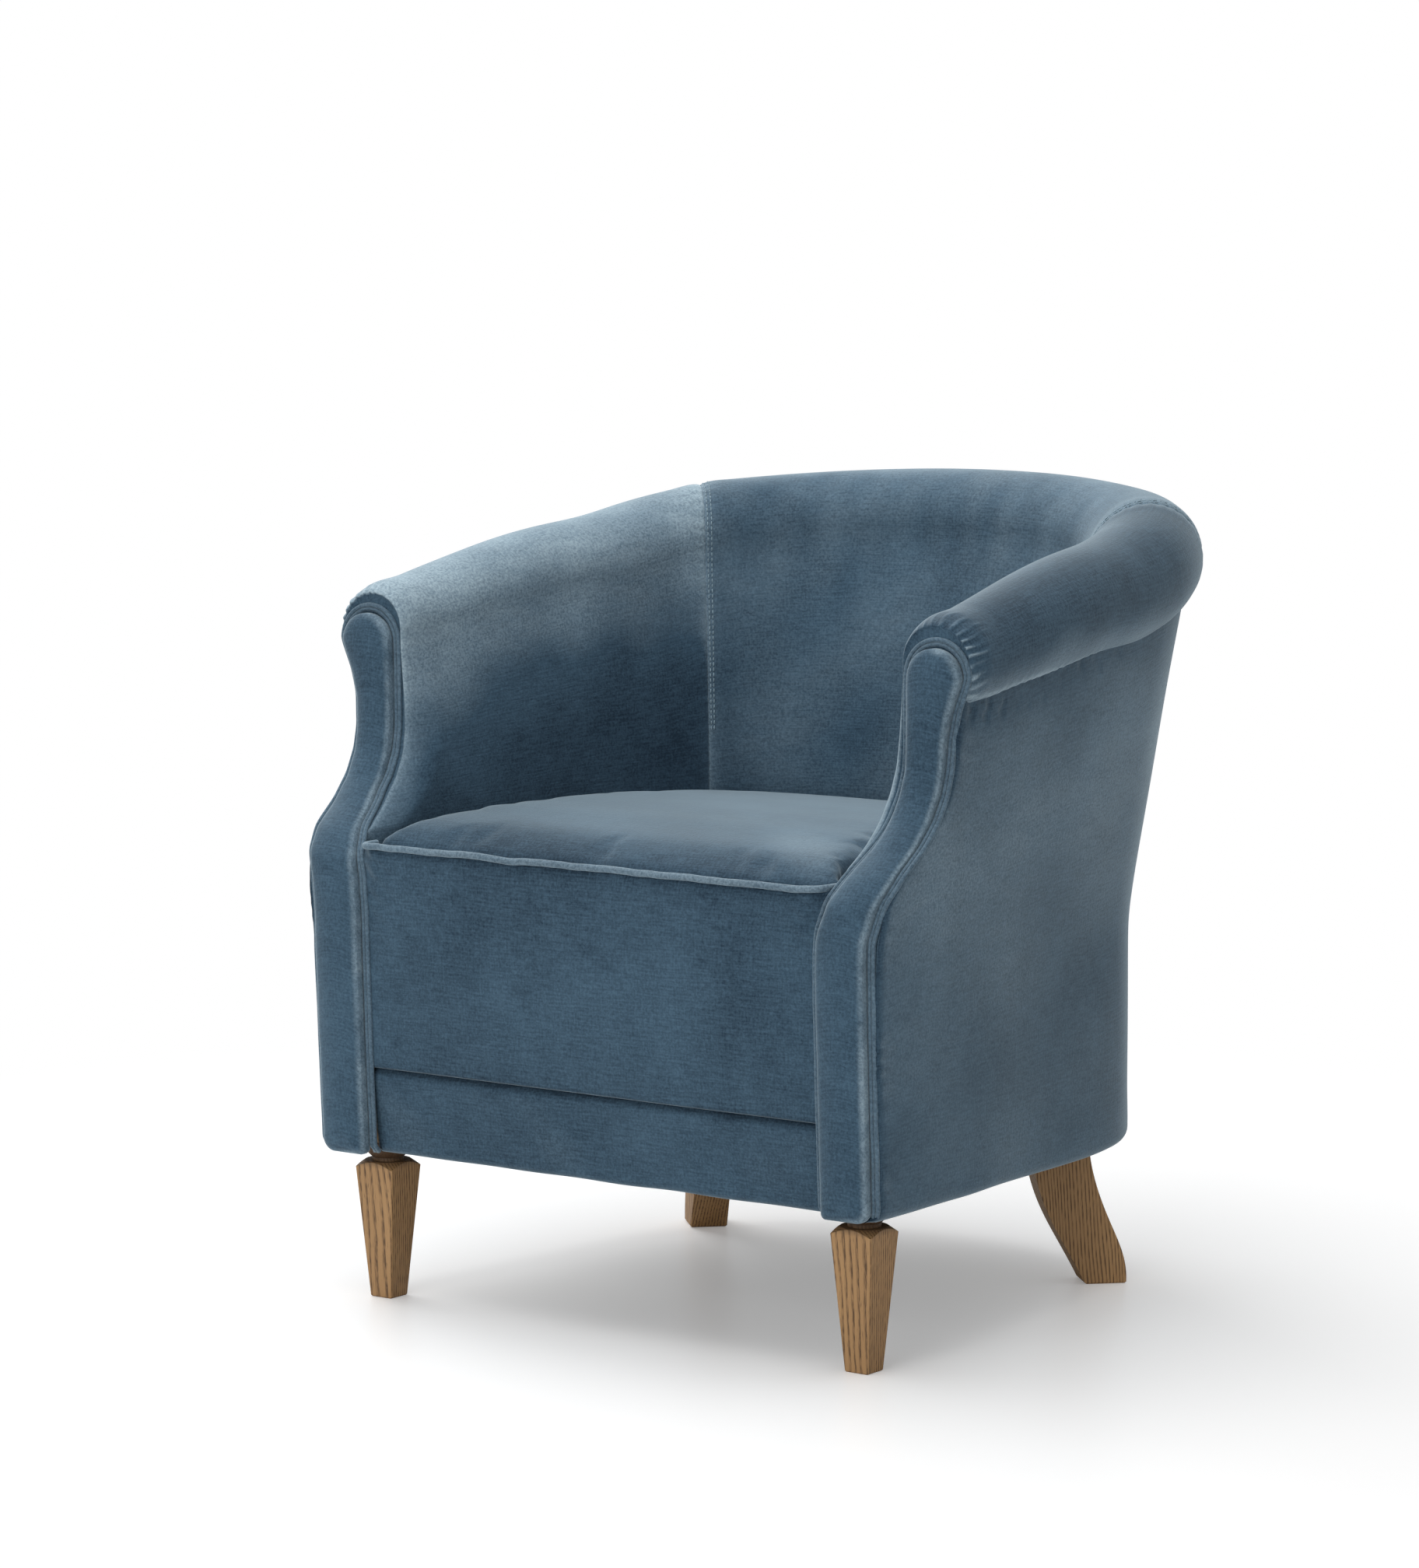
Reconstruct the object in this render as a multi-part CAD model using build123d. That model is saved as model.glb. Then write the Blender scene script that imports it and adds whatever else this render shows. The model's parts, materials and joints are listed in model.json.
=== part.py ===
from build123d import *
import os
from math import atan2, cos, exp, hypot, pi, radians, sin, sqrt

# Upholstered tub chair, millimetres. +Z is up, the chair faces -Y and +X is the right arm as
# seen from the front. While the pieces are made, Y = 0 lies on the centre line of the front
# legs. At the end everything is moved so that the origin is under the middle of the chair.

# ---- Driving dimensions -----------------------------------------------------------------

# Plan of the shell: the crest of the rolled edge follows three tangent arcs on each side.
CREST_HALF_WIDTH = 316.0     # half width between the crests at the arm fronts
CREST_BACK_Y = 599.0         # crest at the middle of the back
SIDE_ARC = 2600.0
CORNER_ARC = 215.0
BACK_ARC = 430.0

CREST_BACK_Z = 756.0         # top of the roll at the middle of the back
CREST_FRONT_Z = 653.5        # where the roll's slope would meet the arm fronts
CREST_FALL = 1.95            # how the height falls from the back to the arms

ROLL_RADIUS = 52.0
ROLL_HEAD_RADIUS = 37.0      # roll drawn in behind the arm facing
ROLL_SWELL = (38.0, 36.0)    # where the roll starts to swell along the crest, and over what length
HEM_Z = 144.0                # lower edge of the upholstery
HEM_ROUNDING = 12.0
KINK_Z = 350.0               # the outside runs upright below this height and flares above it
SEAT_LEVEL_Z = 445.0         # where the seat meets the arms and the back
COVER_FOOT_Z = 352.0         # the inside covers and pads end on the tacking rails
STEP = 36.0                  # distance between the shell's sections

CLOTH = 2.0                  # velvet with its backing
CLEAR = 0.4                  # between soft layers
FACING_DEPTH = 13.0          # board and pad of an arm facing
PAD_DEPTH = 9.0
PAD_ROUND = 3.0
PANEL_DEPTH = 10.4           # cover, wadding and bent panel of the outside
PANEL_THICK = 4.0
TIMBER_GAP = 1.8             # between the panel and the timber behind it
ROLL_CORE = 28.0             # hollow of the roll's padding, round the top rail
PIPING_CORD = 5.2            # one of the two cords of the double piping
PIPING_GAP = 0.4
PIPING_SET_BACK = 6.0
WELT = 6.0

FRONT_HALF = 244.0           # half width of the seat's front between the facings
SEAT_FRONT_Y = -45.5
WELT_Y = -50.5
WELT_Z = 431.0
FOLD_Z = 224.0               # lower edge of the front border, folded over the rail cover
BORDER_PAD = 6.0
SEAT_BASE_Z = 354.0
SEAT_WADDING = 8.0
SEAT_GAP = 1.2
SEAT_CORNER = 24.0           # radius of the seat's front corners
SEAT_BOW = 1.5               # how far the front edge bows forwards
BORDER_FOOT_Y = -44.2        # the border's face at its fold
BORDER_LEAN = 8.0            # how far it leans forwards up to the welt
RAIL_COVER_Y = -31.0         # face of the rail's cover at the hem

FRONT_LEG_X = 270.0
FRONT_LEG_TOP = 45.0         # square block at its widest
FRONT_LEG_FOOT = 25.0
FRONT_LEG_BLOCK_Z = 130.0
FRONT_LEG_NECK = 44.0        # turned disc under the upholstery
REAR_LEG_X = 233.0           # middle of the rear foot on the floor
REAR_LEG_Y = 453.0
REAR_LEG_THICK = 36.5

FRAME_Z = 150.0              # underside of the timber frame
BASE_RAIL_TOP = 212.0
RAIL_THICK = 24.0
SEAT_RAIL_Z = 300.0
SEAT_RAIL_TOP = 345.0
FRONT_POST_X = (285.0, 309.0)
REAR_POST_S = 400.0          # the rear posts stand here along the crest
TOP_RAIL = (30.0, 34.0)      # width and height of the bent top rail
ARM_RAIL_SPAN = (52.0, REAR_POST_S - 0.2)
FRONT_POST_DEPTH = (15.0, 50.0)    # behind the facing's front line
TACK_RAIL = (30.5, 14.0)           # behind the inner face, and thickness
TACK_RAIL_Z = (354.0, 388.0)
ARM_WEBBING_S = (110, 200, 290)
BACK_WEBBING_S = (500, 600, 690)
WEBBING_WIDE = 50.0
WEBBING_THICK = 1.4
WEBBING_N = (29.2, -17.0)          # behind the inner face below, and at the top rail
LEG_SHOULDER = 13.0                # height of the cone on a front leg's block
LEG_GROOVE_RADIUS = 15.0
DUST_COVER_FRONT_Y = -6.0
SHEET_THICK = 1.2                  # dust cover and hessian
POST_GAP = 0.3
POST_WIDE = 40.0             # rear posts, along the crest
POST_SET_IN = 1.5            # the rear posts' flat face stays behind the curved panel
STAY_WIDE = 50.0
BACK_RAIL_START = 25.0       # the back's rails start this far behind the middle of the rear posts
SIDE_RAIL_END = 21.0         # the side rails end this far in front of it
SIDE_RAIL_START = (4.0, 0.0)       # base and seat rails, behind the front posts
BASE_FRONT = (-26.0, -10.0)        # front base rail
SEAT_FRONT_RAIL = (-36.0, -14.0)   # front rail under the seat
FRONT_BLOCK = ((232.0, 281.0), 44.0, 50.0)      # x, rear face and height
REAR_BLOCK = (-49.5, 47.0, 38.0, 42.0)          # middle along the diagonal, length, width, height
# Outlines of a rear leg on the diagonal: (distance outwards, height).
REAR_LEG_OUTER = ((19.7, 0), (17.5, 24), (3.5, 60), (-13, 107), (-17, FRAME_Z))
REAR_LEG_INNER = ((-19.7, 0), (-38, 34), (-59, 75), (-70, 112), (-73, FRAME_Z))
REAR_SCREW_P = (-57.0, -33.0)      # along the diagonal
REAR_SCREW_Z = (105.0, 192.0)
SCREW_RADIUS = 3.0
BOLT_RADIUS = 4.0
DOWEL_RADIUS = 4.0
DOWELS = ((-18, 170), (-18, 195), (-25, 312), (-25, 333))     # (y, z) in the front posts
SPRING_WIRE = 3.6
SPRING_WIDE = 50.0
SPRING_PITCH = 36.0
SPRING_X = (-164.0, -82.0, 0.0, 82.0, 164.0)

# Front line of an arm facing seen from the side: (height, distance behind the front legs).
# It is upright up to the elbow, sweeps back above the seat and is upright again at the head.
FACING_LINE = ((144, -47), (250, -52.5), (390, -57.5), (421, -51.5), (443, -33.5), (464, -5.4),
               (486, 16), (508, 29), (530, 35.5), (560, 37), (600, 36), (720, 35))
# Edges of the facing pad seen from the front: (height, distance from the middle).
PAD_INNER = ((144, 255.5), (220, 255.5), (290, 255.5), (340, 255.5), (375, 255.5), (396, 257.5), (421, 265),
             (443, 275), (475, 285), (530, 290.5), (570, 291.5), (610, 292.5))
PAD_OUTER = ((144, 309.0), (220, 309.0), (290, 309.0), (335, 309.0), (365, 309.0), (388, 310.5), (410, 317),
             (440, 328), (475, 331), (530, 333.5), (560, 334.0), (583, 337.5))
PAD_HEAD = (318.6, 610.0, 26.0)          # centre and radius of the rounded head


# ---- Plan, heights and profile of the shell ---------------------------------------------

def tangent_corner():
    """Centre of the corner arc, and the normals' angles where it meets the other two arcs."""
    side_x, back_y = CREST_HALF_WIDTH - SIDE_ARC, CREST_BACK_Y - BACK_ARC
    # circles about the side and back centres that the corner's centre lies on
    near, far = BACK_ARC - CORNER_ARC, SIDE_ARC - CORNER_ARC
    gap = hypot(side_x, back_y)
    along = (near ** 2 - far ** 2 + gap ** 2) / (2 * gap)
    across = sqrt(near ** 2 - along ** 2)
    ux, uy = side_x / gap, -back_y / gap
    x = ux * along - uy * across
    y = back_y + uy * along + ux * across
    if x < 0 or y < back_y:
        x = ux * along + uy * across
        y = back_y + uy * along - ux * across
    return (x, y), atan2(y, x - side_x), atan2(y - back_y, x)


CORNER, SIDE_END, CORNER_END = tangent_corner()
SIDE_LENGTH = SIDE_ARC * SIDE_END
CORNER_LENGTH = CORNER_ARC * (CORNER_END - SIDE_END)
HALF_LENGTH = SIDE_LENGTH + CORNER_LENGTH + BACK_ARC * (pi / 2 - CORNER_END)


def normal_angle(s):
    """Angle of the outward normal at the distance s along the crest from the front."""
    if s < SIDE_LENGTH:
        return s / SIDE_ARC
    if s < SIDE_LENGTH + CORNER_LENGTH:
        return SIDE_END + (s - SIDE_LENGTH) / CORNER_ARC
    return CORNER_END + (s - SIDE_LENGTH - CORNER_LENGTH) / BACK_ARC


def plan_point(s, n=0.0, side=1):
    """Point of the plan at the distance s, moved outwards by n. Side is 1 right, -1 left."""
    a = normal_angle(s)
    if s < SIDE_LENGTH:
        cx, cy, r = CREST_HALF_WIDTH - SIDE_ARC, 0.0, SIDE_ARC
    elif s < SIDE_LENGTH + CORNER_LENGTH:
        cx, cy, r = CORNER[0], CORNER[1], CORNER_ARC
    else:
        cx, cy, r = 0.0, CREST_BACK_Y - BACK_ARC, BACK_ARC
    return side * (cx + (r + n) * cos(a)), cy + (r + n) * sin(a)


def between(table, t):
    """Straight interpolation in a table of pairs."""
    for (t0, v0), (t1, v1) in zip(table, table[1:]):
        if t <= t1:
            return v0 + (v1 - v0) * max(0.0, (t - t0) / (t1 - t0))
    return table[-1][1]


def ease(t):
    """A quarter sine from 0 to 1, flat at its end."""
    return sin(pi / 2 * min(1.0, max(0.0, t)))


def crest_z(s):
    return CREST_BACK_Z - (CREST_BACK_Z - CREST_FRONT_Z) * max(0.0, 1 - s / HALF_LENGTH) ** CREST_FALL


def roll_radius(s):
    """The roll swells from the facing's head to its full size in 36 mm."""
    return ROLL_HEAD_RADIUS + (ROLL_RADIUS - ROLL_HEAD_RADIUS) * ease((s - ROLL_SWELL[0]) / ROLL_SWELL[1])


def roll_end_angle(s):
    """Where the roll meets the outside cover, below its centre."""
    return -radians(35 + 17 * min(1.0, max(0.0, (s - 40) / 310)))


def inner_n(s, z):
    """Inner face of the shell, as a distance from the crest line."""
    centre_z = crest_z(s) - ROLL_RADIUS
    lean = 0.115 + 0.00013 * s
    z = max(z, SEAT_LEVEL_Z)
    depth = max(0.0, centre_z - z)
    full = -ROLL_RADIUS - lean * depth - 5 * sin(pi * min(1.0, depth / 250)) + 6 * exp(-max(s, 0) / 120)
    x_edge = between(PAD_INNER, z) - 2 * PIPING_CORD - 0.6
    narrow = x_edge - CREST_HALF_WIDTH
    return narrow + (full - narrow) * ease((s - between(FACING_LINE, z)) / 44)


def outer_n(s, z):
    """Outer face of the shell, as a distance from the crest line."""
    low = 4 - 0.039 * s
    top = 29 + 6 * min(1.0, max(0.0, s / 400))
    join_z = crest_z(s) - ROLL_RADIUS + ROLL_RADIUS * sin(roll_end_angle(s))
    return low + (top - low) * max(0.0, (z - KINK_Z) / (join_z - KINK_Z))


def station(s, side=1):
    """Upright plane across the shell: its x axis points outwards, its y axis up."""
    a = normal_angle(s)
    x, y = plan_point(s, 0, side)
    return Plane(origin=(x, y, 0), x_dir=(side * cos(a), sin(a), 0), z_dir=(sin(a), -side * cos(a), 0))


def inner_points(s, depth, foot_z=COVER_FOOT_Z, core=None):
    """Inner face and roll, from the foot up and over: 13 points for six arcs."""
    centre_z = crest_z(s) - ROLL_RADIUS
    r = core or roll_radius(s) - depth
    start_n = inner_n(s, centre_z) + depth
    points = []
    for i in range(6):
        z = foot_z + (centre_z - foot_z) * i / 6
        points.append((inner_n(s, z) + depth, z))
    for i in range(7):
        angle = pi - (pi - roll_end_angle(s)) * i / 6
        slide = (start_n + r) * (1 - sin(min(pi / 2, pi * i / 6))) if i < 3 else 0.0
        points.append((r * cos(angle) + slide, centre_z + r * sin(angle)))
    return points


def outer_points(s, depth):
    """Outer face from the roll down to the hem and under it: 9 points for four arcs."""
    join_z = crest_z(s) - ROLL_RADIUS + (ROLL_RADIUS - 3) * sin(roll_end_angle(s)) - 5
    points = []
    for z in (join_z, (join_z + KINK_Z) / 2, KINK_Z + 12, KINK_Z - 12, KINK_Z - 60,
              (KINK_Z + HEM_Z) / 2 - 20, HEM_Z + HEM_ROUNDING):
        points.append((outer_n(s, z) - depth, z))
    low = points[-1][0] + depth - HEM_ROUNDING
    r = HEM_ROUNDING - depth
    for angle in (pi / 4, pi / 2):
        points.append((low + r * cos(angle), HEM_Z + HEM_ROUNDING - r * sin(angle)))
    return points


def arcs(points):
    """Three-point arcs through an odd number of points; straight runs become lines."""
    edges = []
    for a, b, c in zip(points[::2], points[1::2], points[2::2]):
        bow = (b[0] - a[0]) * (c[1] - a[1]) - (b[1] - a[1]) * (c[0] - a[0])
        straight = abs(bow) < 0.02 * hypot(c[0] - a[0], c[1] - a[1])
        edges.append(Line(a, c) if straight else ThreePointArc(a, b, c))
    return edges


def strip(outside, inside):
    """Closed wire of a layer between two runs of points."""
    back = inside[::-1]
    edges = arcs(outside) + [Line(outside[-1], back[0])] + arcs(back) + [Line(back[-1], outside[0])]
    return Wire(edges)


def shell_loft(profile, stations):
    """Smooth loft of a profile through (s, side) stations, evenly spaced so that it can't ripple."""
    return Solid.make_loft([station(s, side) * profile(s) for s, side in stations])


def grid(first, last):
    """Stations of the right half, counted from the middle of the back in even steps."""
    return [HALF_LENGTH - STEP * i for i in range(first, last + 1)]


# ---- Cutters ----------------------------------------------------------------------------

def facing_slab(front, back, x0=200.0, x1=420.0, z0=100.0, z1=780.0):
    """Slab between two offsets behind the facing's front line, right arm."""
    inside = [(z, y) for z, y in FACING_LINE if z0 < z < z1]
    line = [(z0, FACING_LINE[0][1])] + inside + [(z1, FACING_LINE[-1][1])]
    front_edge = Spline([(y + front, z) for z, y in line])
    back_edge = Spline([(y + back, z) for z, y in line])
    outline = Face(Wire([front_edge, Line(front_edge @ 1, back_edge @ 1), back_edge,
                         Line(back_edge @ 0, front_edge @ 0)]))
    return extrude(Plane.YZ.offset(x0) * outline, x1 - x0, dir=(1, 0, 0))


def facing_outline(grow, bottom):
    """Upright bar with the outline of the facing, seen from the front and grown all round."""
    x, z, r = PAD_HEAD
    inner = Spline([(e - grow, h) for h, e in PAD_INNER[:-1]] + [(x - r - grow, z)])
    flank = 40.0
    join = (x + (r + grow) * cos(radians(flank)), z - (r + grow) * sin(radians(flank)))
    outer = Spline([(e + grow, h) for h, e in PAD_OUTER if h < join[1] - 12] + [join])
    head = [ThreePointArc((x - r - grow, z), (x, z + r + grow), (x + r + grow, z)),
            ThreePointArc((x + r + grow, z),
                          (x + (r + grow) * cos(radians(flank / 2)), z - (r + grow) * sin(radians(flank / 2))), join)]
    wire = Wire([inner, *head, outer, Line(outer @ 0, inner @ 0)])
    bar = extrude(Plane.XZ.offset(-200) * Face(wire), 400, dir=(0, -1, 0))
    return bar & Pos(310, 0, bottom + 300) * Box(300, 600, 600)


SEAM_INNER = (190.0, 402.0)
SEAM_CREST = (258.5, 478.5)


def seam_side(reach=700.0):
    """Block on the arm's side of the right seam plane, for cutting the panels."""
    dx, dy = SEAM_CREST[0] - SEAM_INNER[0], SEAM_CREST[1] - SEAM_INNER[1]
    length = hypot(dx, dy)
    plane = Plane(origin=(SEAM_CREST[0], SEAM_CREST[1], 400), x_dir=(dx / length, dy / length, 0), z_dir=(0, 0, 1))
    return plane * Pos(0, -reach / 2, 0) * Box(2 * reach, reach, 1200)


FRONT_CUT = facing_slab(-200, FACING_DEPTH + CLEAR)
SEAM_CUT = seam_side()
ARM_STATIONS = [(s, 1) for s in grid(6, 24)]
BACK_STATIONS = [(s, 1) for s in grid(0, 11)][::-1] + [(s, -1) for s in grid(1, 11)]
ALL_STATIONS = [(s, 1) for s in grid(0, 24)][::-1] + [(s, -1) for s in grid(1, 24)]


def only_solid(shape):
    """The largest solid of a cut shape."""
    return max(shape.solids(), key=lambda solid: solid.volume)


def mirrored(shape):
    return mirror(shape, Plane.YZ)


def arm_piece(profile):
    """Right arm's share of a layer: cut at the seam and behind the facing."""
    return only_solid((shell_loft(profile, ARM_STATIONS) & SEAM_CUT) - FRONT_CUT)


def back_piece(profile):
    """Back's share of a layer: between the two seams."""
    return only_solid(shell_loft(profile, BACK_STATIONS) - SEAM_CUT - mirrored(SEAM_CUT))


# ---- Covers and padding of the shell ----------------------------------------------------

def inside_cover(s):
    return strip(inner_points(s, 0), inner_points(s, CLOTH))


def inside_padding(s):
    """Foam on the inner face and round the top rail, thin beside the front post."""
    back = 8 + 20 * ease((s - 60) / 60)
    return strip(inner_points(s, CLOTH + CLEAR), inner_points(s, back, core=ROLL_CORE))


def outside_cover(s):
    return strip(outer_points(s, 0), outer_points(s, CLOTH))


def outside_wadding(s):
    return strip(outer_points(s, CLOTH + CLEAR), outer_points(s, PANEL_DEPTH - PANEL_THICK - CLEAR))


def outside_panel(s):
    """Bent board that carries the outside: upright run only, above the hem's rounding."""
    return strip(outer_points(s, PANEL_DEPTH - PANEL_THICK)[:7], outer_points(s, PANEL_DEPTH)[:7])


# ---- Arm facings ------------------------------------------------------------------------

def facing_board():
    return only_solid(facing_slab(PAD_DEPTH + CLEAR, FACING_DEPTH) & facing_outline(-3, HEM_Z + 4))


def facing_pad():
    """Padded velvet strip over the board: a full step and a smaller one that rounds its edge."""
    low = facing_slab(PAD_ROUND, PAD_DEPTH) & facing_outline(0, HEM_Z + 1)
    high = facing_slab(0, PAD_ROUND) & facing_outline(-PAD_ROUND / 2, HEM_Z + 2)
    return only_solid(low + high)


def facing_piping():
    """Double piping: two cords side by side round the pad."""
    cords = []
    for start in (PIPING_GAP, PIPING_GAP + PIPING_CORD + 0.1):
        ring = facing_outline(start + PIPING_CORD, HEM_Z + 1) - facing_outline(start, HEM_Z - 60)
        cords.append(only_solid(facing_slab(PIPING_SET_BACK, PIPING_SET_BACK + PIPING_CORD) & ring))
    return Compound(children=cords)


# ---- Timber frame -----------------------------------------------------------------------

def rail(stations, n0, n1, z0, z1):
    """Bent or straight rail: a rectangle carried through (s, side) stations, straight between them."""
    def section(s):
        lo, hi, base, top = n0(s), n1(s), z0(s), z1(s)
        return Polyline((lo, base), (hi, base), (hi, top), (lo, top), close=True)
    return Solid.make_loft([station(s, side) * Wire(section(s).edges()) for s, side in stations], True)


def both_sides(first, last, count):
    """Evenly spaced stations from the right side round the back to the left."""
    half = [(first + (last - first) * i / count, 1) for i in range(count + 1)]
    return half + [(s, -1) for s, _ in half[-2::-1]]


def right_span(first, last, count):
    return [first + (last - first) * i / count for i in range(count + 1)]


def right_side(first, last, count):
    return [(s, 1) for s in right_span(first, last, count)]


def low_n(s):
    """Face of the timber behind the outside panel, below the kink."""
    return outer_n(s, BASE_RAIL_TOP) - PANEL_DEPTH - TIMBER_GAP


def roll_z(s):
    return crest_z(s) - ROLL_RADIUS


def post(s, levels, wide):
    """Upright at one station through (height, inner n, outer n) levels, straight between them."""
    a = normal_angle(s)
    wires = []
    for z, n0, n1 in levels:
        x, y = plan_point(s, (n0 + n1) / 2)
        plane = Plane(origin=(x, y, z), x_dir=(cos(a), sin(a), 0), z_dir=(0, 0, 1))
        wires.append(plane * Wire(Polyline((-(n1 - n0) / 2, -wide / 2), ((n1 - n0) / 2, -wide / 2),
                                           ((n1 - n0) / 2, wide / 2), (-(n1 - n0) / 2, wide / 2), close=True).edges()))
    return Solid.make_loft(wires, True)


def timber(s_first, s_last, z0, z1, count=5):
    """Base or seat rail of one side, held against the outside panel's inner face."""
    def lowest(s):
        return min(low_n(s), -7.0)
    return rail(right_side(s_first, s_last, count), lambda s: lowest(s) - RAIL_THICK, lowest,
                lambda s: z0, lambda s: z1)


def back_rail(z0, z1):
    """Base or seat rail bent round the back, between the rear posts."""
    return rail(both_sides(REAR_POST_S + BACK_RAIL_START, HALF_LENGTH, 9),
                lambda s: low_n(s) - RAIL_THICK, low_n, lambda s: z0, lambda s: z1)


def front_post():
    """Arm stump sawn to the facing's line; its front carries the facing."""
    x0, x1 = FRONT_POST_X
    slab = facing_slab(*FRONT_POST_DEPTH, x0=x0, x1=x1)
    top = roll_z(ARM_RAIL_SPAN[0]) - TOP_RAIL[1] / 2 - CLEAR
    return only_solid(slab & Pos(300, 0, (FRAME_Z + top) / 2) * Box(200, 400, top - FRAME_Z))


def rear_post():
    """Post between the side and back rails, sawn at its top to the slope of the rail above."""
    s = REAR_POST_S
    low = low_n(s) - POST_SET_IN
    top = roll_z(s) - TOP_RAIL[1] / 4
    half = TOP_RAIL[0] / 2 - 1
    deep = RAIL_THICK + 4
    upright = post(s, ((FRAME_Z, low - deep, low), (KINK_Z + 15, low - deep, low), (top, -half, half)), POST_WIDE)
    return only_solid(upright - arm_rail([(REAR_POST_S + 1, 1)]) - back_top_rail())


def back_stay():
    """Stay at the middle of the back, from the seat rail up to the top rail."""
    s = HALF_LENGTH
    low = low_n(s)
    top = roll_z(s) - TOP_RAIL[1] / 2 - 0.4
    half = TOP_RAIL[0] / 2 - 1
    return post(s, ((SEAT_RAIL_TOP, low - RAIL_THICK, low), (KINK_Z + 15, low - RAIL_THICK, low),
                    (top, -half, half)), STAY_WIDE)


def top_rail(stations):
    """Bent rail inside the roll."""
    wide, high = TOP_RAIL
    return rail(stations, lambda s: -wide / 2, lambda s: wide / 2,
                lambda s: roll_z(s) - high / 2, lambda s: roll_z(s) + high / 2)


def arm_rail(further=()):
    """Top rail of the right arm, carried on through further stations where it is a cutter."""
    return top_rail(right_side(*ARM_RAIL_SPAN, 6) + list(further))


def back_top_rail():
    return top_rail(both_sides(REAR_POST_S, HALF_LENGTH, 9))


def tack_rail(stations):
    """Thin rail at seat level that the inside covers and the hessian are tacked to."""
    def face(s):
        return inner_n(s, SEAT_LEVEL_Z) + TACK_RAIL[0]
    return rail(stations, face, lambda s: face(s) + TACK_RAIL[1], lambda s: TACK_RAIL_Z[0], lambda s: TACK_RAIL_Z[1])


def box(x, y, z):
    """Box from three (low, high) pairs."""
    middle = [(a + b) / 2 for a, b in (x, y, z)]
    return Pos(*middle) * Box(x[1] - x[0], y[1] - y[0], z[1] - z[0])


def front_rail(y, z):
    half = FRONT_POST_X[0] - POST_GAP
    return box((-half, half), y, z)


def front_block():
    """Corner block between the base rails; the front leg's bolt goes up through it."""
    across, rear, high = FRONT_BLOCK
    block = box(across, (BASE_FRONT[1] + 0.2, rear), (FRAME_Z, FRAME_Z + high))
    return block - Pos(FRONT_LEG_X, 0, FRAME_Z) * Cylinder(BOLT_RADIUS + 0.2, 200)


DIAGONAL = Plane(origin=(REAR_LEG_X, REAR_LEG_Y, 0), x_dir=(1, 1, 0), z_dir=(1, -1, 0))


def rear_leg():
    """Sabre leg sawn from a board that stands on the chair's diagonal."""
    outer = Spline(REAR_LEG_OUTER)
    inner = Spline(REAR_LEG_INNER)
    outline = Face(Wire([outer, Line(outer @ 1, inner @ 1), inner, Line(inner @ 0, outer @ 0)]))
    leg = only_solid(extrude(DIAGONAL * outline, REAR_LEG_THICK / 2, both=True))
    leg = chamfer(leg.faces().sort_by(Axis.Z)[0].edges(), 1.5)
    return leg - rear_screws(0.15)


def rear_screws(grow=0.0):
    """The two long screws that hold a rear leg up into its block."""
    screws = []
    for p in REAR_SCREW_P:
        z0, z1 = REAR_SCREW_Z
        x, y = REAR_LEG_X + p / sqrt(2), REAR_LEG_Y + p / sqrt(2)
        shank = Pos(x, y, (z0 + z1) / 2) * Cylinder(SCREW_RADIUS + grow, z1 - z0)
        cap = Pos(x, y, z1 + 2) * Cylinder(6.5, 4)
        screws.append(only_solid(shank + cap) if not grow else shank)
    return Compound(children=screws) if not grow else screws[0] + screws[1]


def rear_block():
    """Block on the diagonal inside the rear corner; the sabre leg is screwed up into it."""
    middle, long, wide, high = REAR_BLOCK
    plane = Plane(origin=(REAR_LEG_X + middle / sqrt(2), REAR_LEG_Y + middle / sqrt(2), FRAME_Z),
                  x_dir=(1, 1, 0), z_dir=(0, 0, 1))
    block = plane * Pos(0, 0, high / 2) * Box(long, wide, high)
    return block - rear_screws(0.15)


def front_leg():
    """Square tapered leg; its shoulder is turned to a cone that leaves an arch on each face."""
    foot, top = FRONT_LEG_FOOT, FRONT_LEG_TOP
    lower = Rectangle(foot, foot).wire()
    upper = Pos(0, 0, FRONT_LEG_BLOCK_Z) * Rectangle(top, top).wire()
    block = Solid.make_loft([lower, upper], True)
    block = fillet(block.edges().filter_by(lambda e: abs((e @ 0).Z - (e @ 1).Z) > 50), 2.0)
    shoulder = Polyline((0, 0), (40, 0), (40, FRONT_LEG_BLOCK_Z - LEG_SHOULDER), (top / 2 - 1, FRONT_LEG_BLOCK_Z),
                        (0, FRONT_LEG_BLOCK_Z), close=True)
    block = block & revolve(Plane.XZ * Face(Wire(shoulder.edges())), Axis.Z)
    block = chamfer(only_solid(block).faces().sort_by(Axis.Z)[0].edges(), 1.2)
    neck_r = FRONT_LEG_NECK / 2
    neck = Polyline((0, FRONT_LEG_BLOCK_Z - 2), (LEG_GROOVE_RADIUS, FRONT_LEG_BLOCK_Z - 2),
                    (LEG_GROOVE_RADIUS, FRONT_LEG_BLOCK_Z + 3),
                    (neck_r - 3, FRONT_LEG_BLOCK_Z + 7), (neck_r, FRONT_LEG_BLOCK_Z + 10), (neck_r, FRAME_Z),
                    (0, FRAME_Z), close=True)
    leg = block + revolve(Plane.XZ * Face(Wire(neck.edges())), Axis.Z)
    return Pos(FRONT_LEG_X, 0, 0) * only_solid(leg - Pos(0, 0, 125) * Cylinder(BOLT_RADIUS + 0.2, 60))


def front_leg_bolt():
    """Hanger bolt from the leg up through the corner block."""
    return Pos(FRONT_LEG_X, 0, 157) * Cylinder(BOLT_RADIUS, 114)


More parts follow.
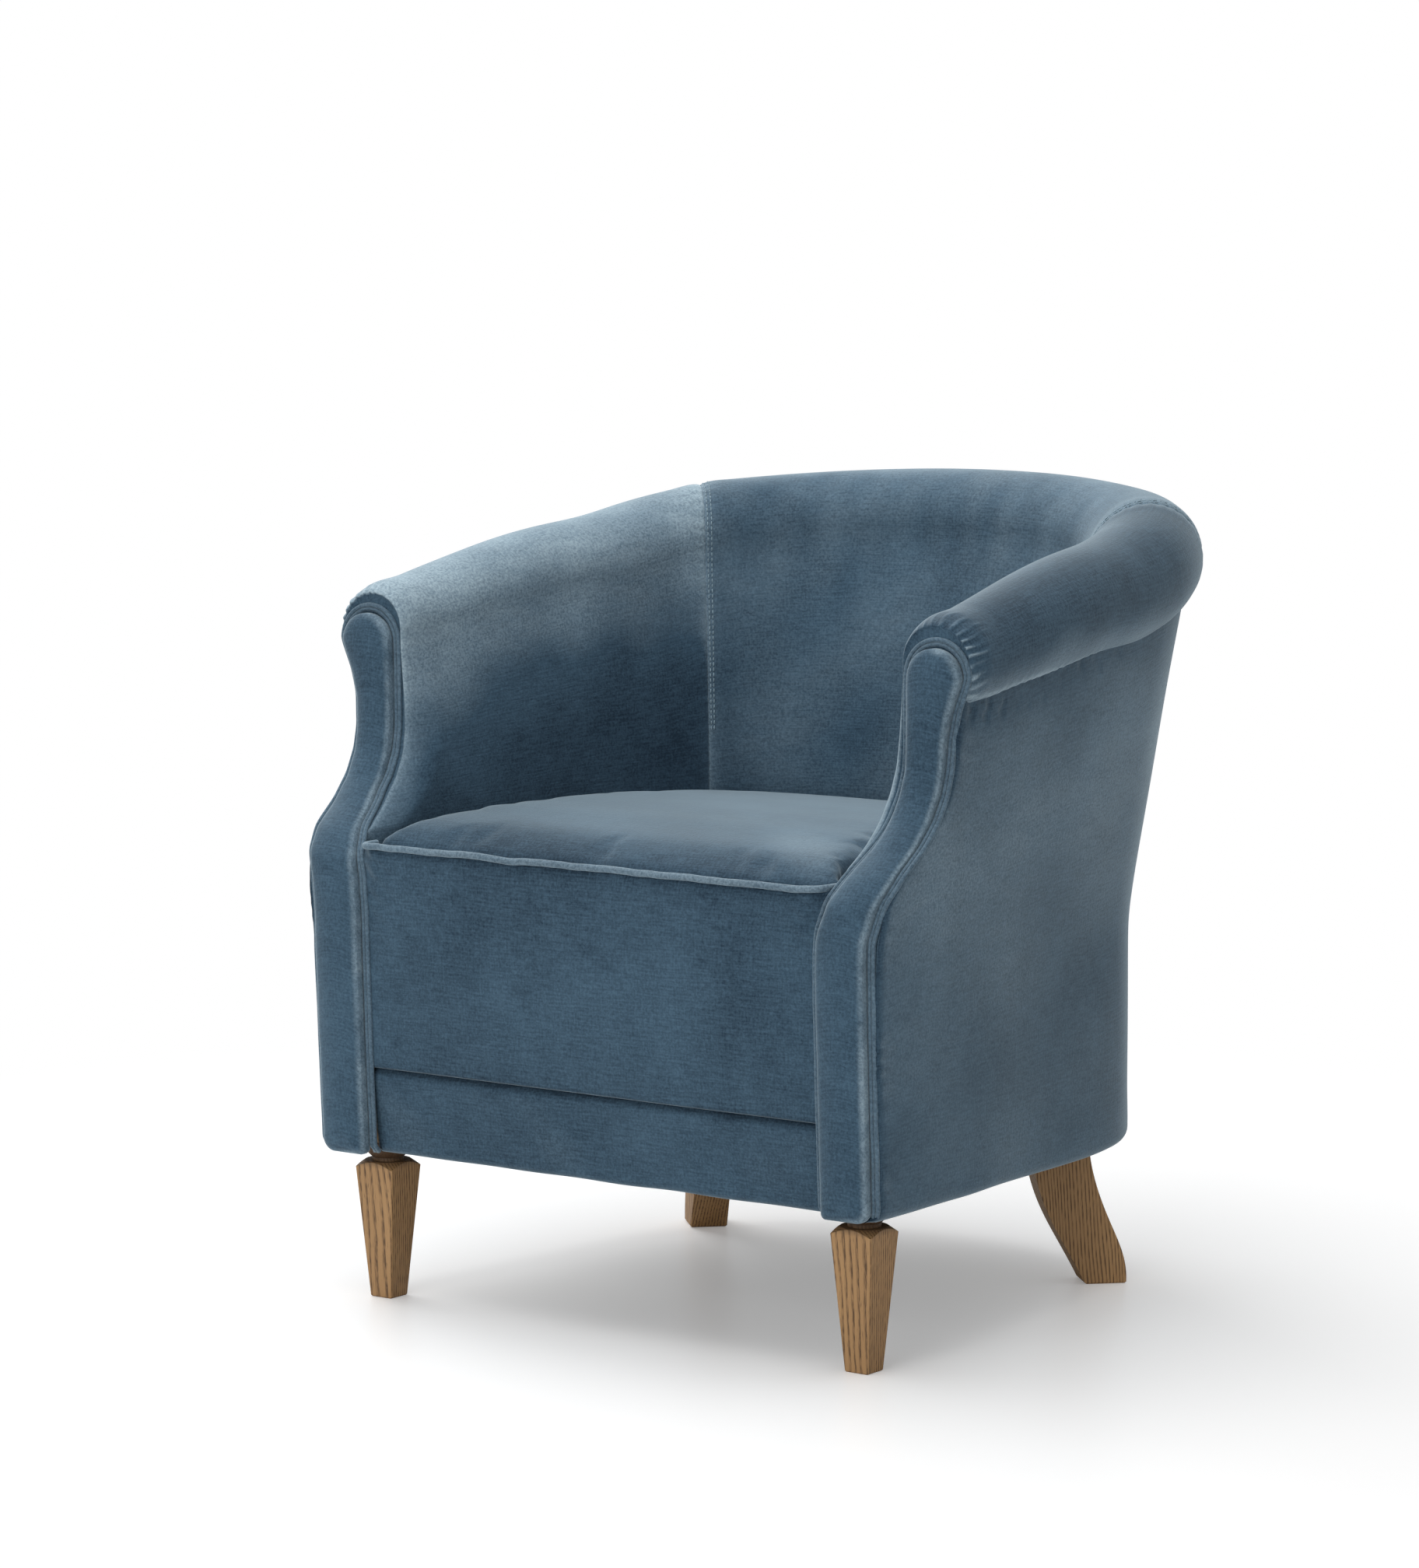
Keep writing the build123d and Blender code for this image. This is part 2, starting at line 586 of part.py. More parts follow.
def front_leg_nut():
    """Hexagon nut and washer on top of the corner block."""
    nut = Pos(0, 0, 201.5 + 3.4) * extrude(RegularPolygon(7.5, 6), 6.5)
    washer = Pos(0, 0, 201.5) * Cylinder(11, 2)
    return Pos(FRONT_LEG_X, 0, 0.1) * only_solid((nut + Pos(0, 0, 203.5) * Cylinder(7, 3) + washer)
                                                 - Pos(0, 0, 205) * Cylinder(BOLT_RADIUS + 0.1, 40))


def dowels(radius):
    """Dowels of the joints between the front rails and the right front post, or their bores."""
    return [Pos(FRONT_POST_X[0], y, z) * Rot(0, 90, 0) * Cylinder(radius, 34) for y, z in DOWELS]


# ---- Seat -------------------------------------------------------------------------------

CROWN = ((-80, 426, 424), (0, 449, 436), (80, 463, 440), (160, 470, 443), (240, 471, 444),
         (320, 467, 443), (400, 460, 441), (480, 453, 440), (560, 449, 440))


def seat_outline(inset):
    """Outline of the seat inside the shell, drawn in by an inset."""
    front, half = SEAT_FRONT_Y + inset, FRONT_HALF - inset
    shell = [plan_point(s, inner_n(s, SEAT_LEVEL_Z) - SEAT_GAP - inset) for s in right_span(24, HALF_LENGTH, 18)]
    middle = SEAT_CORNER * (1 - sqrt(0.5))
    corner = [(half - SEAT_CORNER, front), (half - middle, front + middle), (half, front + SEAT_CORNER)]
    right = arcs(corner) + [Line(corner[-1], shell[0])] + arcs(shell)
    left = arcs([(-x, y) for x, y in corner]) + [Line((-half, corner[-1][1]), (-shell[0][0], shell[0][1]))]
    left += arcs([(-x, y) for x, y in shell])
    edge = ThreePointArc((-corner[0][0], front), (0, front - SEAT_BOW), corner[0])
    return Face(Wire([edge] + right + left))


def crown(drop):
    """Solid under the seat's crowned top: arcs across the seat, lofted from front to back."""
    wires = []
    for y, middle, edge in CROWN:
        plane = Plane(origin=(0, y, 0), x_dir=(1, 0, 0), z_dir=(0, -1, 0))
        top = ThreePointArc((280, edge - drop), (0, middle - drop), (-280, edge - drop))
        sides = [Line((-280, edge - drop), (-280, 300)), Line((-280, 300), (280, 300)),
                 Line((280, 300), (280, edge - drop))]
        wires.append(plane * Wire([top, *sides]))
    return Solid.make_loft(wires)


def seat_body(inset, base=SEAT_BASE_Z):
    return only_solid(extrude(Pos(0, 0, base) * seat_outline(inset), 150, dir=(0, 0, 1)) & crown(inset))


def seat_layers():
    """Cover, wadding and foam of the seat, each inside the one before."""
    cover = only_solid(seat_body(0) - seat_body(CLOTH, SEAT_BASE_Z - 5))
    wadding_in = CLOTH + CLEAR
    foam_in = wadding_in + SEAT_WADDING
    wadding = only_solid(seat_body(wadding_in) - seat_body(foam_in, SEAT_BASE_Z - 5))
    return cover, wadding, seat_body(foam_in + CLEAR)


def seat_welt():
    """Piped edge along the front, round the corners and back behind the facings."""
    x, y, tail = FRONT_HALF + WELT / 2 + CLEAR, WELT_Y, WELT_Y + 36
    path = FilletPolyline((-x, tail, WELT_Z), (-x, y, WELT_Z), (x, y, WELT_Z), (x, tail, WELT_Z),
                          radius=SEAT_CORNER - 2)
    profile = Plane(origin=path @ 0, z_dir=path % 0) * Circle(WELT / 2)
    return only_solid(sweep(profile, path=path))


def front_slab(front, back, z0, z1, half):
    """Upright layer of the front between two offsets behind the border's leaning face."""
    def face_y(z):
        return BORDER_FOOT_Y - BORDER_LEAN * (z - FOLD_Z) / (WELT_Z - FOLD_Z)
    profile = Polyline((face_y(z0) + front, z0), (face_y(z0) + back, z0),
                       (face_y(z1) + back, z1), (face_y(z1) + front, z1), close=True)
    return extrude(Plane.YZ.offset(-half) * Face(Wire(profile.edges())), 2 * half, dir=(1, 0, 0))


def border_cover():
    return front_slab(0, CLOTH, FOLD_Z, WELT_Z - WELT / 2 - 0.3, FRONT_HALF)


def border_padding():
    """Padding between the border's cover and the rails, up to the seat's underside."""
    return front_slab(CLOTH + CLEAR, CLOTH + CLEAR + BORDER_PAD, FOLD_Z + 12, SEAT_BASE_Z - 4.5, FRONT_HALF - 2)


def rail_cover():
    """Cover of the base rail: tucked behind the fold and turned under the hem."""
    tuck_y = BORDER_FOOT_Y + CLOTH + CLEAR
    lean = Polyline((RAIL_COVER_Y, HEM_Z), (RAIL_COVER_Y + CLOTH, HEM_Z), (tuck_y + CLOTH / 2 + 0.1, FOLD_Z + 10),
                    (tuck_y + 0.1, FOLD_Z + 10), close=True)
    upright = extrude(Plane.YZ.offset(-FRONT_HALF) * Face(Wire(lean.edges())), 2 * FRONT_HALF, dir=(1, 0, 0))
    under = box((-FRONT_HALF, FRONT_HALF), (RAIL_COVER_Y + CLOTH, BASE_FRONT[1] + 2), (HEM_Z, HEM_Z + CLOTH))
    return only_solid(upright + under)


def back_rail_y(x):
    """Middle of the bent back seat rail at a distance x from the chair's middle."""
    n = low_n(HALF_LENGTH - abs(x)) - RAIL_THICK / 2
    in_back_arc = abs(x) < (BACK_ARC + n) * cos(CORNER_END)
    cx, cy, r = (0.0, CREST_BACK_Y - BACK_ARC, BACK_ARC) if in_back_arc else (*CORNER, CORNER_ARC)
    return cy + sqrt((r + n) ** 2 - (abs(x) - cx) ** 2)


def spring_ends(x):
    """Where a spring's first and last runs lie on the front and back seat rails."""
    return sum(SEAT_FRONT_RAIL) / 2, back_rail_y(x) - 1


def springs():
    """Zigzag springs: straight runs joined by half turns, from the front rail to the back rail."""
    z = SEAT_RAIL_TOP + SPRING_WIRE / 2 + 0.2
    wires = []
    for x in SPRING_X:
        start, end = spring_ends(x)
        loops = int((end - start) / (SPRING_PITCH / 2))
        pitch = (end - start) / loops
        r, half = pitch / 2, (SPRING_WIDE - pitch) / 2
        edges = []
        for i in range(loops):
            y, turn = start + i * pitch, 1 if i % 2 else -1
            edges.append(Line((-turn * half, y), (turn * half, y)))
            edges.append(ThreePointArc((turn * half, y), (turn * (half + r), y + r), (turn * half, y + pitch)))
        edges.append(Line((turn * half, end), (-turn * half, end)))
        path = Pos(x, 0, z) * Wire(edges)
        wires.append(sweep(Plane(origin=path @ 0, z_dir=path % 0) * Circle(SPRING_WIRE / 2), path=path))
    return Compound(children=wires)


def spring_clips():
    """Clips over the springs' ends, with a foot on the rail on each side of the wire."""
    clips = []
    top = SEAT_RAIL_TOP + SPRING_WIRE + 0.4
    for x in SPRING_X:
        for y in spring_ends(x):
            strap = Pos(0, 0, top + 0.6) * Box(14, 12, 1.2)
            feet = [Pos(0, side * 5.3, (SEAT_RAIL_TOP + top) / 2 + 0.1) * Box(14, 1.4, top - SEAT_RAIL_TOP)
                    for side in (1, -1)]
            clips.append(Pos(x, y, 0) * only_solid(strap + feet[0] + feet[1]))
    return Compound(children=clips)


def hessian():
    """Cloth over the springs that carries the seat."""
    return extrude(Pos(0, 0, SEAT_BASE_Z - 3) * seat_outline(3), SHEET_THICK, dir=(0, 0, 1))


def webbing(stations):
    """Upright bands from the tacking rail to the top rail, behind the inside padding."""
    bands = []
    for s, side in stations:
        low = inner_n(s, SEAT_LEVEL_Z) + WEBBING_N[0]
        wires = []
        for z, n in ((COVER_FOOT_Z + 4, low), (SEAT_LEVEL_Z + 2, low), (roll_z(s) - 12, WEBBING_N[1])):
            a = normal_angle(s)
            x, y = plan_point(s, n, side)
            plane = Plane(origin=(x, y, z), x_dir=(side * cos(a), sin(a), 0), z_dir=(0, 0, 1))
            wires.append(plane * Rectangle(WEBBING_THICK, WEBBING_WIDE).wire())
        bands.append(Solid.make_loft(wires, True))
    return Compound(children=bands)


def dust_cover():
    """Black cloth under the frame, with holes for the legs."""
    side = [plan_point(s, low_n(s) - 2) for s in right_span(8, HALF_LENGTH, 20)]
    start = (side[0][0], DUST_COVER_FRONT_Y)
    half = [Line(start, side[0])] + arcs(side)
    other = [Line((-start[0], start[1]), (-side[0][0], side[0][1]))] + arcs([(-x, y) for x, y in side])
    outline = Face(Wire([Line(start, (-start[0], start[1]))] + half + other))
    sheet = extrude(Pos(0, 0, FRAME_Z - CLEAR - SHEET_THICK) * outline, SHEET_THICK, dir=(0, 0, 1))
    for side in (1, -1):
        sheet -= Pos(side * FRONT_LEG_X, 0, FRAME_Z) * Cylinder(FRONT_LEG_NECK / 2 + 0.5, 10)
    hole = rear_leg_hole()
    return only_solid(sheet - hole - mirrored(hole))


def rear_leg_hole():
    middle = (REAR_LEG_OUTER[-1][0] + REAR_LEG_INNER[-1][0]) / 2
    plane = Plane(origin=(REAR_LEG_X + middle / sqrt(2), REAR_LEG_Y + middle / sqrt(2), FRAME_Z),
                  x_dir=(1, 1, 0), z_dir=(0, 0, 1))
    return plane * Box(60, REAR_LEG_THICK + 1, 10)


# ---- Assembly ---------------------------------------------------------------------------

def build():
    """Every piece by its node's name."""
    cover, wadding, foam = seat_layers()
    right = {
        "front_leg": front_leg(),
        "rear_leg": rear_leg(),
        "front_post": front_post(),
        "rear_post": rear_post(),
        "side_base_rail": timber(SIDE_RAIL_START[0], REAR_POST_S - SIDE_RAIL_END, FRAME_Z, BASE_RAIL_TOP),
        "side_seat_rail": timber(SIDE_RAIL_START[1], REAR_POST_S - SIDE_RAIL_END, SEAT_RAIL_Z, SEAT_RAIL_TOP),
        "arm_rail": arm_rail(),
        "arm_tack_rail": tack_rail(right_side(50, REAR_POST_S - SIDE_RAIL_END, 5)),
        "arm_webbing": webbing([(s, 1) for s in ARM_WEBBING_S]),
        "arm_padding": arm_piece(inside_padding),
        "inside_arm_cover": arm_piece(inside_cover),
        "facing_board": facing_board(),
        "facing_pad": facing_pad(),
        "facing_piping": facing_piping(),
        "outside_arm_panel": arm_piece(outside_panel),
    }
    parts = {}
    for name, shape in right.items():
        parts[name + "_right"] = shape
        parts[name + "_left"] = mirrored(shape)
    pairs = {
        "front_corner_blocks": front_block(),
        "rear_corner_blocks": rear_block(),
        "front_leg_bolts": front_leg_bolt(),
        "front_leg_nuts": front_leg_nut(),
    }
    for name, shape in pairs.items():
        parts[name] = Compound(children=[shape, mirrored(shape)])
    screws = rear_screws()
    parts["rear_leg_screws"] = Compound(children=[*screws.solids(), *mirrored(screws).solids()])
    parts["front_base_rail"] = front_rail(BASE_FRONT, (FRAME_Z, BASE_RAIL_TOP))
    parts["front_seat_rail"] = front_rail(SEAT_FRONT_RAIL, (SEAT_RAIL_Z, SEAT_RAIL_TOP))
    parts["back_base_rail"] = back_rail(FRAME_Z, BASE_RAIL_TOP)
    parts["back_seat_rail"] = back_rail(SEAT_RAIL_Z, SEAT_RAIL_TOP)
    pegs = dowels(DOWEL_RADIUS)
    pegs += [mirrored(peg) for peg in pegs]
    bores = dowels(DOWEL_RADIUS + 0.1)
    bores += [mirrored(bore) for bore in bores]
    for name in ("front_post_right", "front_post_left", "front_base_rail", "front_seat_rail"):
        for bore in bores:
            parts[name] -= bore
    parts["frame_dowels"] = Compound(children=pegs)
    parts["back_top_rail"] = back_top_rail()
    parts["back_tack_rail"] = tack_rail(both_sides(REAR_POST_S + BACK_RAIL_START, HALF_LENGTH, 9))
    parts["back_stay"] = back_stay()
    parts["back_webbing"] = webbing([(s, side) for side in (1, -1) for s in BACK_WEBBING_S])
    parts["back_padding"] = back_piece(inside_padding)
    parts["inside_back_cover"] = back_piece(inside_cover)
    parts["outside_back_panel"] = back_piece(outside_panel)
    for name, profile in (("outside_wadding", outside_wadding), ("outside_cover", outside_cover)):
        parts[name] = only_solid(shell_loft(profile, ALL_STATIONS) - FRONT_CUT - mirrored(FRONT_CUT))
    parts["seat_springs"] = springs()
    parts["spring_clips"] = spring_clips()
    parts["seat_hessian"] = hessian()
    parts["seat_foam"] = foam
    parts["seat_wadding"] = wadding
    parts["seat_cover"] = cover
    parts["seat_welt"] = seat_welt()
    parts["front_border_cover"] = border_cover()
    parts["front_border_padding"] = border_padding()
    parts["front_rail_cover"] = rail_cover()
    parts["dust_cover"] = dust_cover()
    return parts


def main():
    parts = build()
    boxes = [shape.bounding_box(optimal=True) for shape in parts.values()]
    shift = -(min(b.min.Y for b in boxes) + max(b.max.Y for b in boxes)) / 2
    os.makedirs("parts", exist_ok=True)
    for name, shape in parts.items():
        export_step(Pos(0, shift, 0) * shape, f"parts/{name}.step")
    print(len(parts), "nodes, moved along Y by", round(shift, 3))


main()
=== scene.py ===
"""Looks of an upholstered tub chair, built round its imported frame.

Every shape is worked out in millimetres in the leg frame, where Y = 0 is the centre line of the
front legs, +X is the right arm seen from the front and -Y is the way the chair faces.
The Workshop class moves the points to the row frame and turns them into metres.
"""

import json
import logging
import math
from dataclasses import dataclass, field
from enum import Enum
from functools import cached_property
from typing import Callable, Sequence

import bmesh
import bpy
import numpy as np
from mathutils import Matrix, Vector

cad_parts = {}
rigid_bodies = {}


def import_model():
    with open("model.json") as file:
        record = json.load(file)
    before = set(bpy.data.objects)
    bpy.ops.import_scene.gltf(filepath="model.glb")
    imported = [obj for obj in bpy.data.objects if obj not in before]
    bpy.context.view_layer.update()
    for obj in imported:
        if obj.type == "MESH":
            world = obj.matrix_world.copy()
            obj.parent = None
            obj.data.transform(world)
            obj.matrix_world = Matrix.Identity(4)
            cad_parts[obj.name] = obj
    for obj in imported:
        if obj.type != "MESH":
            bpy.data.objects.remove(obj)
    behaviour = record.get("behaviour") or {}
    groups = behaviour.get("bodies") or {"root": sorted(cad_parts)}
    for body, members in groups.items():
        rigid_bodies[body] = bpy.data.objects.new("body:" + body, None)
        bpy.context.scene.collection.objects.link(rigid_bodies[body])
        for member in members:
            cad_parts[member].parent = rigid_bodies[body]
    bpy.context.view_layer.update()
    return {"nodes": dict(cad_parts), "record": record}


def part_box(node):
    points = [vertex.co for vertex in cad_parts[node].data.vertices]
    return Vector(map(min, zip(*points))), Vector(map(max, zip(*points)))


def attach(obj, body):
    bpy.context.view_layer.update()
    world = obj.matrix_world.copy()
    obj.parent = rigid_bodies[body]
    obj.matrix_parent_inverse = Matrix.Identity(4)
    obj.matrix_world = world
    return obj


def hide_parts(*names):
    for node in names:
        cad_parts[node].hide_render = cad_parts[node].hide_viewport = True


for leftover in list(bpy.data.objects):
    bpy.data.objects.remove(leftover)
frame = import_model()

LOG = logging.getLogger("tub_chair")
MM = 0.001
CLOTH = 1.6

Array = np.ndarray
Pair = tuple[float, float]
Colour = tuple[float, float, float, float]
Piece = bpy.types.Object
Mesh = bpy.types.Mesh
Material = bpy.types.Material
Tree = bpy.types.NodeTree
Socket = bpy.types.NodeSocket
Values = dict[str | int, object]


class Side(Enum):
    """An arm of the chair, seen from the front."""

    RIGHT = 1
    LEFT = -1

    @property
    def word(self) -> str:
        """Ending of the names of this side's pieces."""
        return self.name.lower()


# ---- Small numpy helpers ----


def ease(t: Array) -> Array:
    """A quarter sine from 0 to 1, steep at its start and flat at its end."""
    return np.sin(np.pi / 2 * np.clip(t, 0, 1))


def ramp(x: Array, start: float, length: float) -> Array:
    """Straight rise from 0 to 1 over a length, which is negative where x counts down."""
    return np.clip((x - start) / length, 0, 1)


def step(x: Array, start: float, length: float) -> Array:
    """Cubic rise from 0 to 1 over a length, flat at both ends."""
    t = ramp(x, start, length)
    return t * t * (3 - 2 * t)


def hill(distance: Array, width: float) -> Array:
    """Bell curve: 1 at distance 0 and about a third at the width."""
    return np.exp(-((distance / width) ** 2))


def fade(distance: Array, width: float) -> Array:
    """Falls from 1 at distance 0, to about a third at the width, and on towards 0."""
    return np.exp(-distance / width)


@dataclass(frozen=True)
class Hill:
    """Bell curve: its height, the place of its top and its width."""

    height: float
    place: float
    width: float

    def at(self, x: Array) -> Array:
        """Height of the curve at each x."""
        return self.height * hill(x - self.place, self.width)


def soft_interp(x: Array, table: Sequence[Pair], spread: float) -> Array:
    """Straight interpolation in a table, averaged over a spread so that it has no corners.

    Args:
        x: Where to read the table.
        table: Pairs of place and value.
        spread: Width of the average, in the units of x.

    Returns:
        The smoothed values, in the shape of x.
    """
    places, values = np.array(table, float).T
    offsets = np.linspace(-0.5, 0.5, 9) * spread
    weights = np.cos(offsets / spread * np.pi) ** 2 + 0.05
    total = sum(w * np.interp(x + o, places, values) for o, w in zip(offsets, weights))
    return total / weights.sum()


def ripples(points: Array, wavelength: float, seed: int) -> Array:
    """Gentle waves over a surface: a sum of seven sines of random heading and phase.

    Args:
        points: Points, in millimetres, with the coordinates last.
        wavelength: Mean distance between crests.
        seed: Seed of the headings and phases.

    Returns:
        Values of about -1 to 1, one for each point.
    """
    rng = np.random.default_rng(seed)
    total = np.zeros(points.shape[:-1])
    for _ in range(7):
        heading = rng.normal(size=3)
        heading /= np.linalg.norm(heading)
        length = wavelength * rng.uniform(0.7, 1.5)
        total += np.sin(points @ heading * (2 * np.pi / length) + rng.uniform(0, 2 * np.pi))
    return total / 3.5


@dataclass(frozen=True)
class Waves:
    """Unevenness of a surface: height, distance between crests, and seed."""

    height: float
    length: float
    seed: int

    def over(self, points: Array, other: int = 0) -> Array:
        """Height at each point, with another seed for another piece."""
        return self.height * ripples(points, self.length, self.seed + other)


def normals_of(points: Array) -> Array:
    """Unit normals of a grid of points: the cross product of its two gradients."""
    normal = np.cross(np.gradient(points, axis=0), np.gradient(points, axis=1))
    length = np.linalg.norm(normal, axis=-1, keepdims=True)
    return normal / np.maximum(length, 1e-9)


def crowded(count: int, ends: float) -> Array:
    """Values from 0 to 1 that stand closer together near both ends, by a sine taken off."""
    t = np.linspace(0, 1, count)
    return t - ends * np.sin(2 * np.pi * t) / (2 * np.pi)


def between(start: Array, end: Array, places: Array) -> Array:
    """Grid of values at shares of the way from a start to an end: one row for each pair."""
    return start[:, None] + (end - start)[:, None] * places[None]


def arc(x: float, y: float, radius: float, turn: Array) -> Array:
    """Points on a circle round a centre, at angles in radians."""
    return np.stack([x + radius * np.cos(turn), y + radius * np.sin(turn)], 1)


def at_height(plan: Array, z: float) -> Array:
    """Points seen from above, put at a height."""
    return np.concatenate([plan, np.full((len(plan), 1), z)], 1)


def mirrored(half: Array, closed: bool = False) -> Array:
    """Path seen from above, with its mirror image: it ends on the middle of the chair, and
    starts there too if it is closed."""
    return np.concatenate([half, half[int(closed):-1][::-1] * np.array([-1.0, 1.0])])


def run_along(points: Array, axis: int, backwards: bool = False) -> Array:
    """Distance of each point of a grid from the first or the last one along an axis."""
    if backwards:
        return np.flip(run_along(np.flip(points, axis), axis), axis)
    total = np.cumsum(np.linalg.norm(np.diff(points, axis=axis), axis=-1), axis=axis)
    first = np.zeros_like(np.take(total, [0], axis=axis))
    return np.concatenate([first, total], axis=axis)


def settled(s: Array, missing: Callable[[Array], Array], steps: int) -> Array:
    """Distances along the crest, moved by most of what is missing until next to nothing is.

    Args:
        s: First guess.
        missing: How far the point at a distance lies in front of its goal.
        steps: Number of moves.

    Returns:
        The distances at which the goal is met.
    """
    for _ in range(steps):
        s = s + 0.8 * missing(s)
    return s


# ---- Form of the shell ----


@dataclass(frozen=True)
class Plan:
    """Plan of the rolled crest: a side arc, a corner arc and half of the back arc, tangent."""

    half_width: float = 316.0
    back_y: float = 599.0
    side_radius: float = 2600.0
    corner_radius: float = 215.0
    back_radius: float = 430.0

    @cached_property
    def corner(self) -> Pair:
        """Centre of the corner arc: it touches the side arc and the back arc from inside."""
        side_x = self.half_width - self.side_radius
        back_y = self.back_y - self.back_radius
        near = self.back_radius - self.corner_radius
        far = self.side_radius - self.corner_radius
        gap = math.hypot(side_x, back_y)
        along = (near**2 - far**2 + gap**2) / (2 * gap)
        across = math.sqrt(near**2 - along**2)
        ux, uy = side_x / gap, -back_y / gap
        found = [(ux * along - k * uy * across, back_y + uy * along + k * ux * across)
                 for k in (1, -1)]
        return max(found, key=sum)

    @cached_property
    def turns(self) -> Pair:
        """Angles of the normals where the side arc ends and where the corner arc ends."""
        x, y = self.corner
        side = math.atan2(y, x - (self.half_width - self.side_radius))
        return side, math.atan2(y - (self.back_y - self.back_radius), x)

    @cached_property
    def side_length(self) -> float:
        """Length of the side arc."""
        return self.side_radius * self.turns[0]

    @cached_property
    def corner_end(self) -> float:
        """Distance along the crest where the corner arc ends."""
        return self.side_length + self.corner_radius * (self.turns[1] - self.turns[0])

    @cached_property
    def length(self) -> float:
        """Distance along the crest from the front to the middle of the back."""
        return self.corner_end + self.back_radius * (math.pi / 2 - self.turns[1])

    def fold(self, s: Array) -> Array:
        """Distances past the middle of the back, counted from the left front instead."""
        return np.minimum(s, 2 * self.length - s)

    def at(self, s: Array, n: Array) -> tuple[Array, Array]:
        """Point of the plan at a distance along the crest, moved outwards.

        Args:
            s: Distance from the right front, up to twice the length at the left front.
            n: Distance outwards from the crest line.

        Returns:
            The x and y of each point: centre of its arc plus radius times the normal.
        """
        q = self.fold(s)
        first, second = self.turns
        parts = [q < self.side_length, q < self.corner_end]
        sides = [q / self.side_radius, first + (q - self.side_length) / self.corner_radius]
        angle = np.select(parts, sides, second + (q - self.corner_end) / self.back_radius)
        cx = np.select(parts, [self.half_width - self.side_radius, self.corner[0]], 0.0)
        cy = np.select(parts, [0.0, self.corner[1]], self.back_y - self.back_radius)
        radius = np.select(parts, [self.side_radius, self.corner_radius], self.back_radius)
        x = cx + (radius + n) * np.cos(angle)
        y = cy + (radius + n) * np.sin(angle)
        return np.where(s > self.length, -x, x), y


@dataclass(frozen=True)
class Facing:
    """Line and outline of the padded strip at the front of an arm, as tables over the height."""

    line: tuple[Pair, ...] = (
        (144, -48.5), (250, -54), (330, -57.5), (390, -59), (421, -53.5), (443, -36), (464, -8.5),
        (486, 12.5), (508, 25), (530, 31), (560, 32), (600, 31), (720, 30))
    inner: tuple[Pair, ...] = (
        (144, 259), (375, 259), (396, 261), (421, 268.5), (443, 278), (475, 287.5), (530, 292),
        (570, 292), (610, 292.6))
    outer: tuple[Pair, ...] = (
        (144, 307.5), (330, 306), (365, 305.5), (388, 306.5), (410, 312), (440, 320.5), (475, 324),
        (530, 327), (560, 328.5), (583, 334), (610, 344.6))
    spread: float = 16.0
    head: tuple[float, float, float] = (318.6, 610.0, 26.0)
    cord: float = 4.1
    puff: float = 1.5
    margin: float = 9.8
    flange_steps: tuple[float, ...] = (1.5, 4.0, 8.0, 12.0, 23.0)
    flange_back: tuple[float, ...] = (9.0, 9.4, 9.0, 8.1, 8.1)
    foot: float = 142.0
    foot_round: float = 12.0
    foot_round_inside: float = 5.0
    foot_taper: float = 2.5
    elbow: float = 350.0
    middle_foot: float = 26.0

    def front(self, z: Array) -> Array:
        """Distance of the facing's front face behind the front legs, at a height."""
        return soft_interp(z, self.line, self.spread)

    def foot_curve(self, z: Array, radius: float) -> Array:
        """How far the pad's edges are drawn in near its foot, by a quarter circle."""
        share = ramp(z, self.foot + radius, -radius)
        return radius * (1 - np.sqrt(1 - share**2))

    def foot_share(self, z: Array) -> Array:
        """How far down a height lies between the elbow and the foot, from 0 to 1."""
        return ramp(z, self.elbow, self.foot - self.elbow)

    def inner_x(self, z: Array) -> Array:
        """Inner edge of the pad, at a height."""
        return soft_interp(z, self.inner, self.spread)

    def outer_x(self, z: Array) -> Array:
        """Outer edge of the pad at a height: drawn in a little below, and round at its foot."""
        drawn_in = self.foot_curve(z, self.foot_round) + self.foot_taper * self.foot_share(z)
        return soft_interp(z, self.outer, self.spread) - drawn_in

    def middle(self, z: Array) -> Array:
        """Nearest point of the pad's middle line, which ends above its foot and in its head.

        Args:
            z: Heights.

        Returns:
            The x and z of each point.
        """
        z = np.clip(z, self.foot + self.middle_foot, self.head[1])
        return np.stack([(self.inner_x(z) + self.outer_x(z)) / 2, z], -1)

    def flange(self, edge: Array) -> Array:
        """Edge of a cover turned in behind the piping.

        Args:
            edge: The cover's edge, one point a row, on either arm.

        Returns:
            Grid of new points: from the edge straight towards the pad's middle.
        """
        start = edge[:, [0, 2]]
        middle = self.middle(edge[:, 2])
        middle[:, 0] *= np.sign(edge[:, 0])
        way = middle - start
        way /= np.maximum(np.linalg.norm(way, axis=1, keepdims=True), 1e-6)
        plan = start[:, None] + np.array(self.flange_steps)[None, :, None] * way[:, None]
        y = self.front(plan[..., 1]) + np.array(self.flange_back)
        return np.stack([plan[..., 0], y, plan[..., 1]], -1)


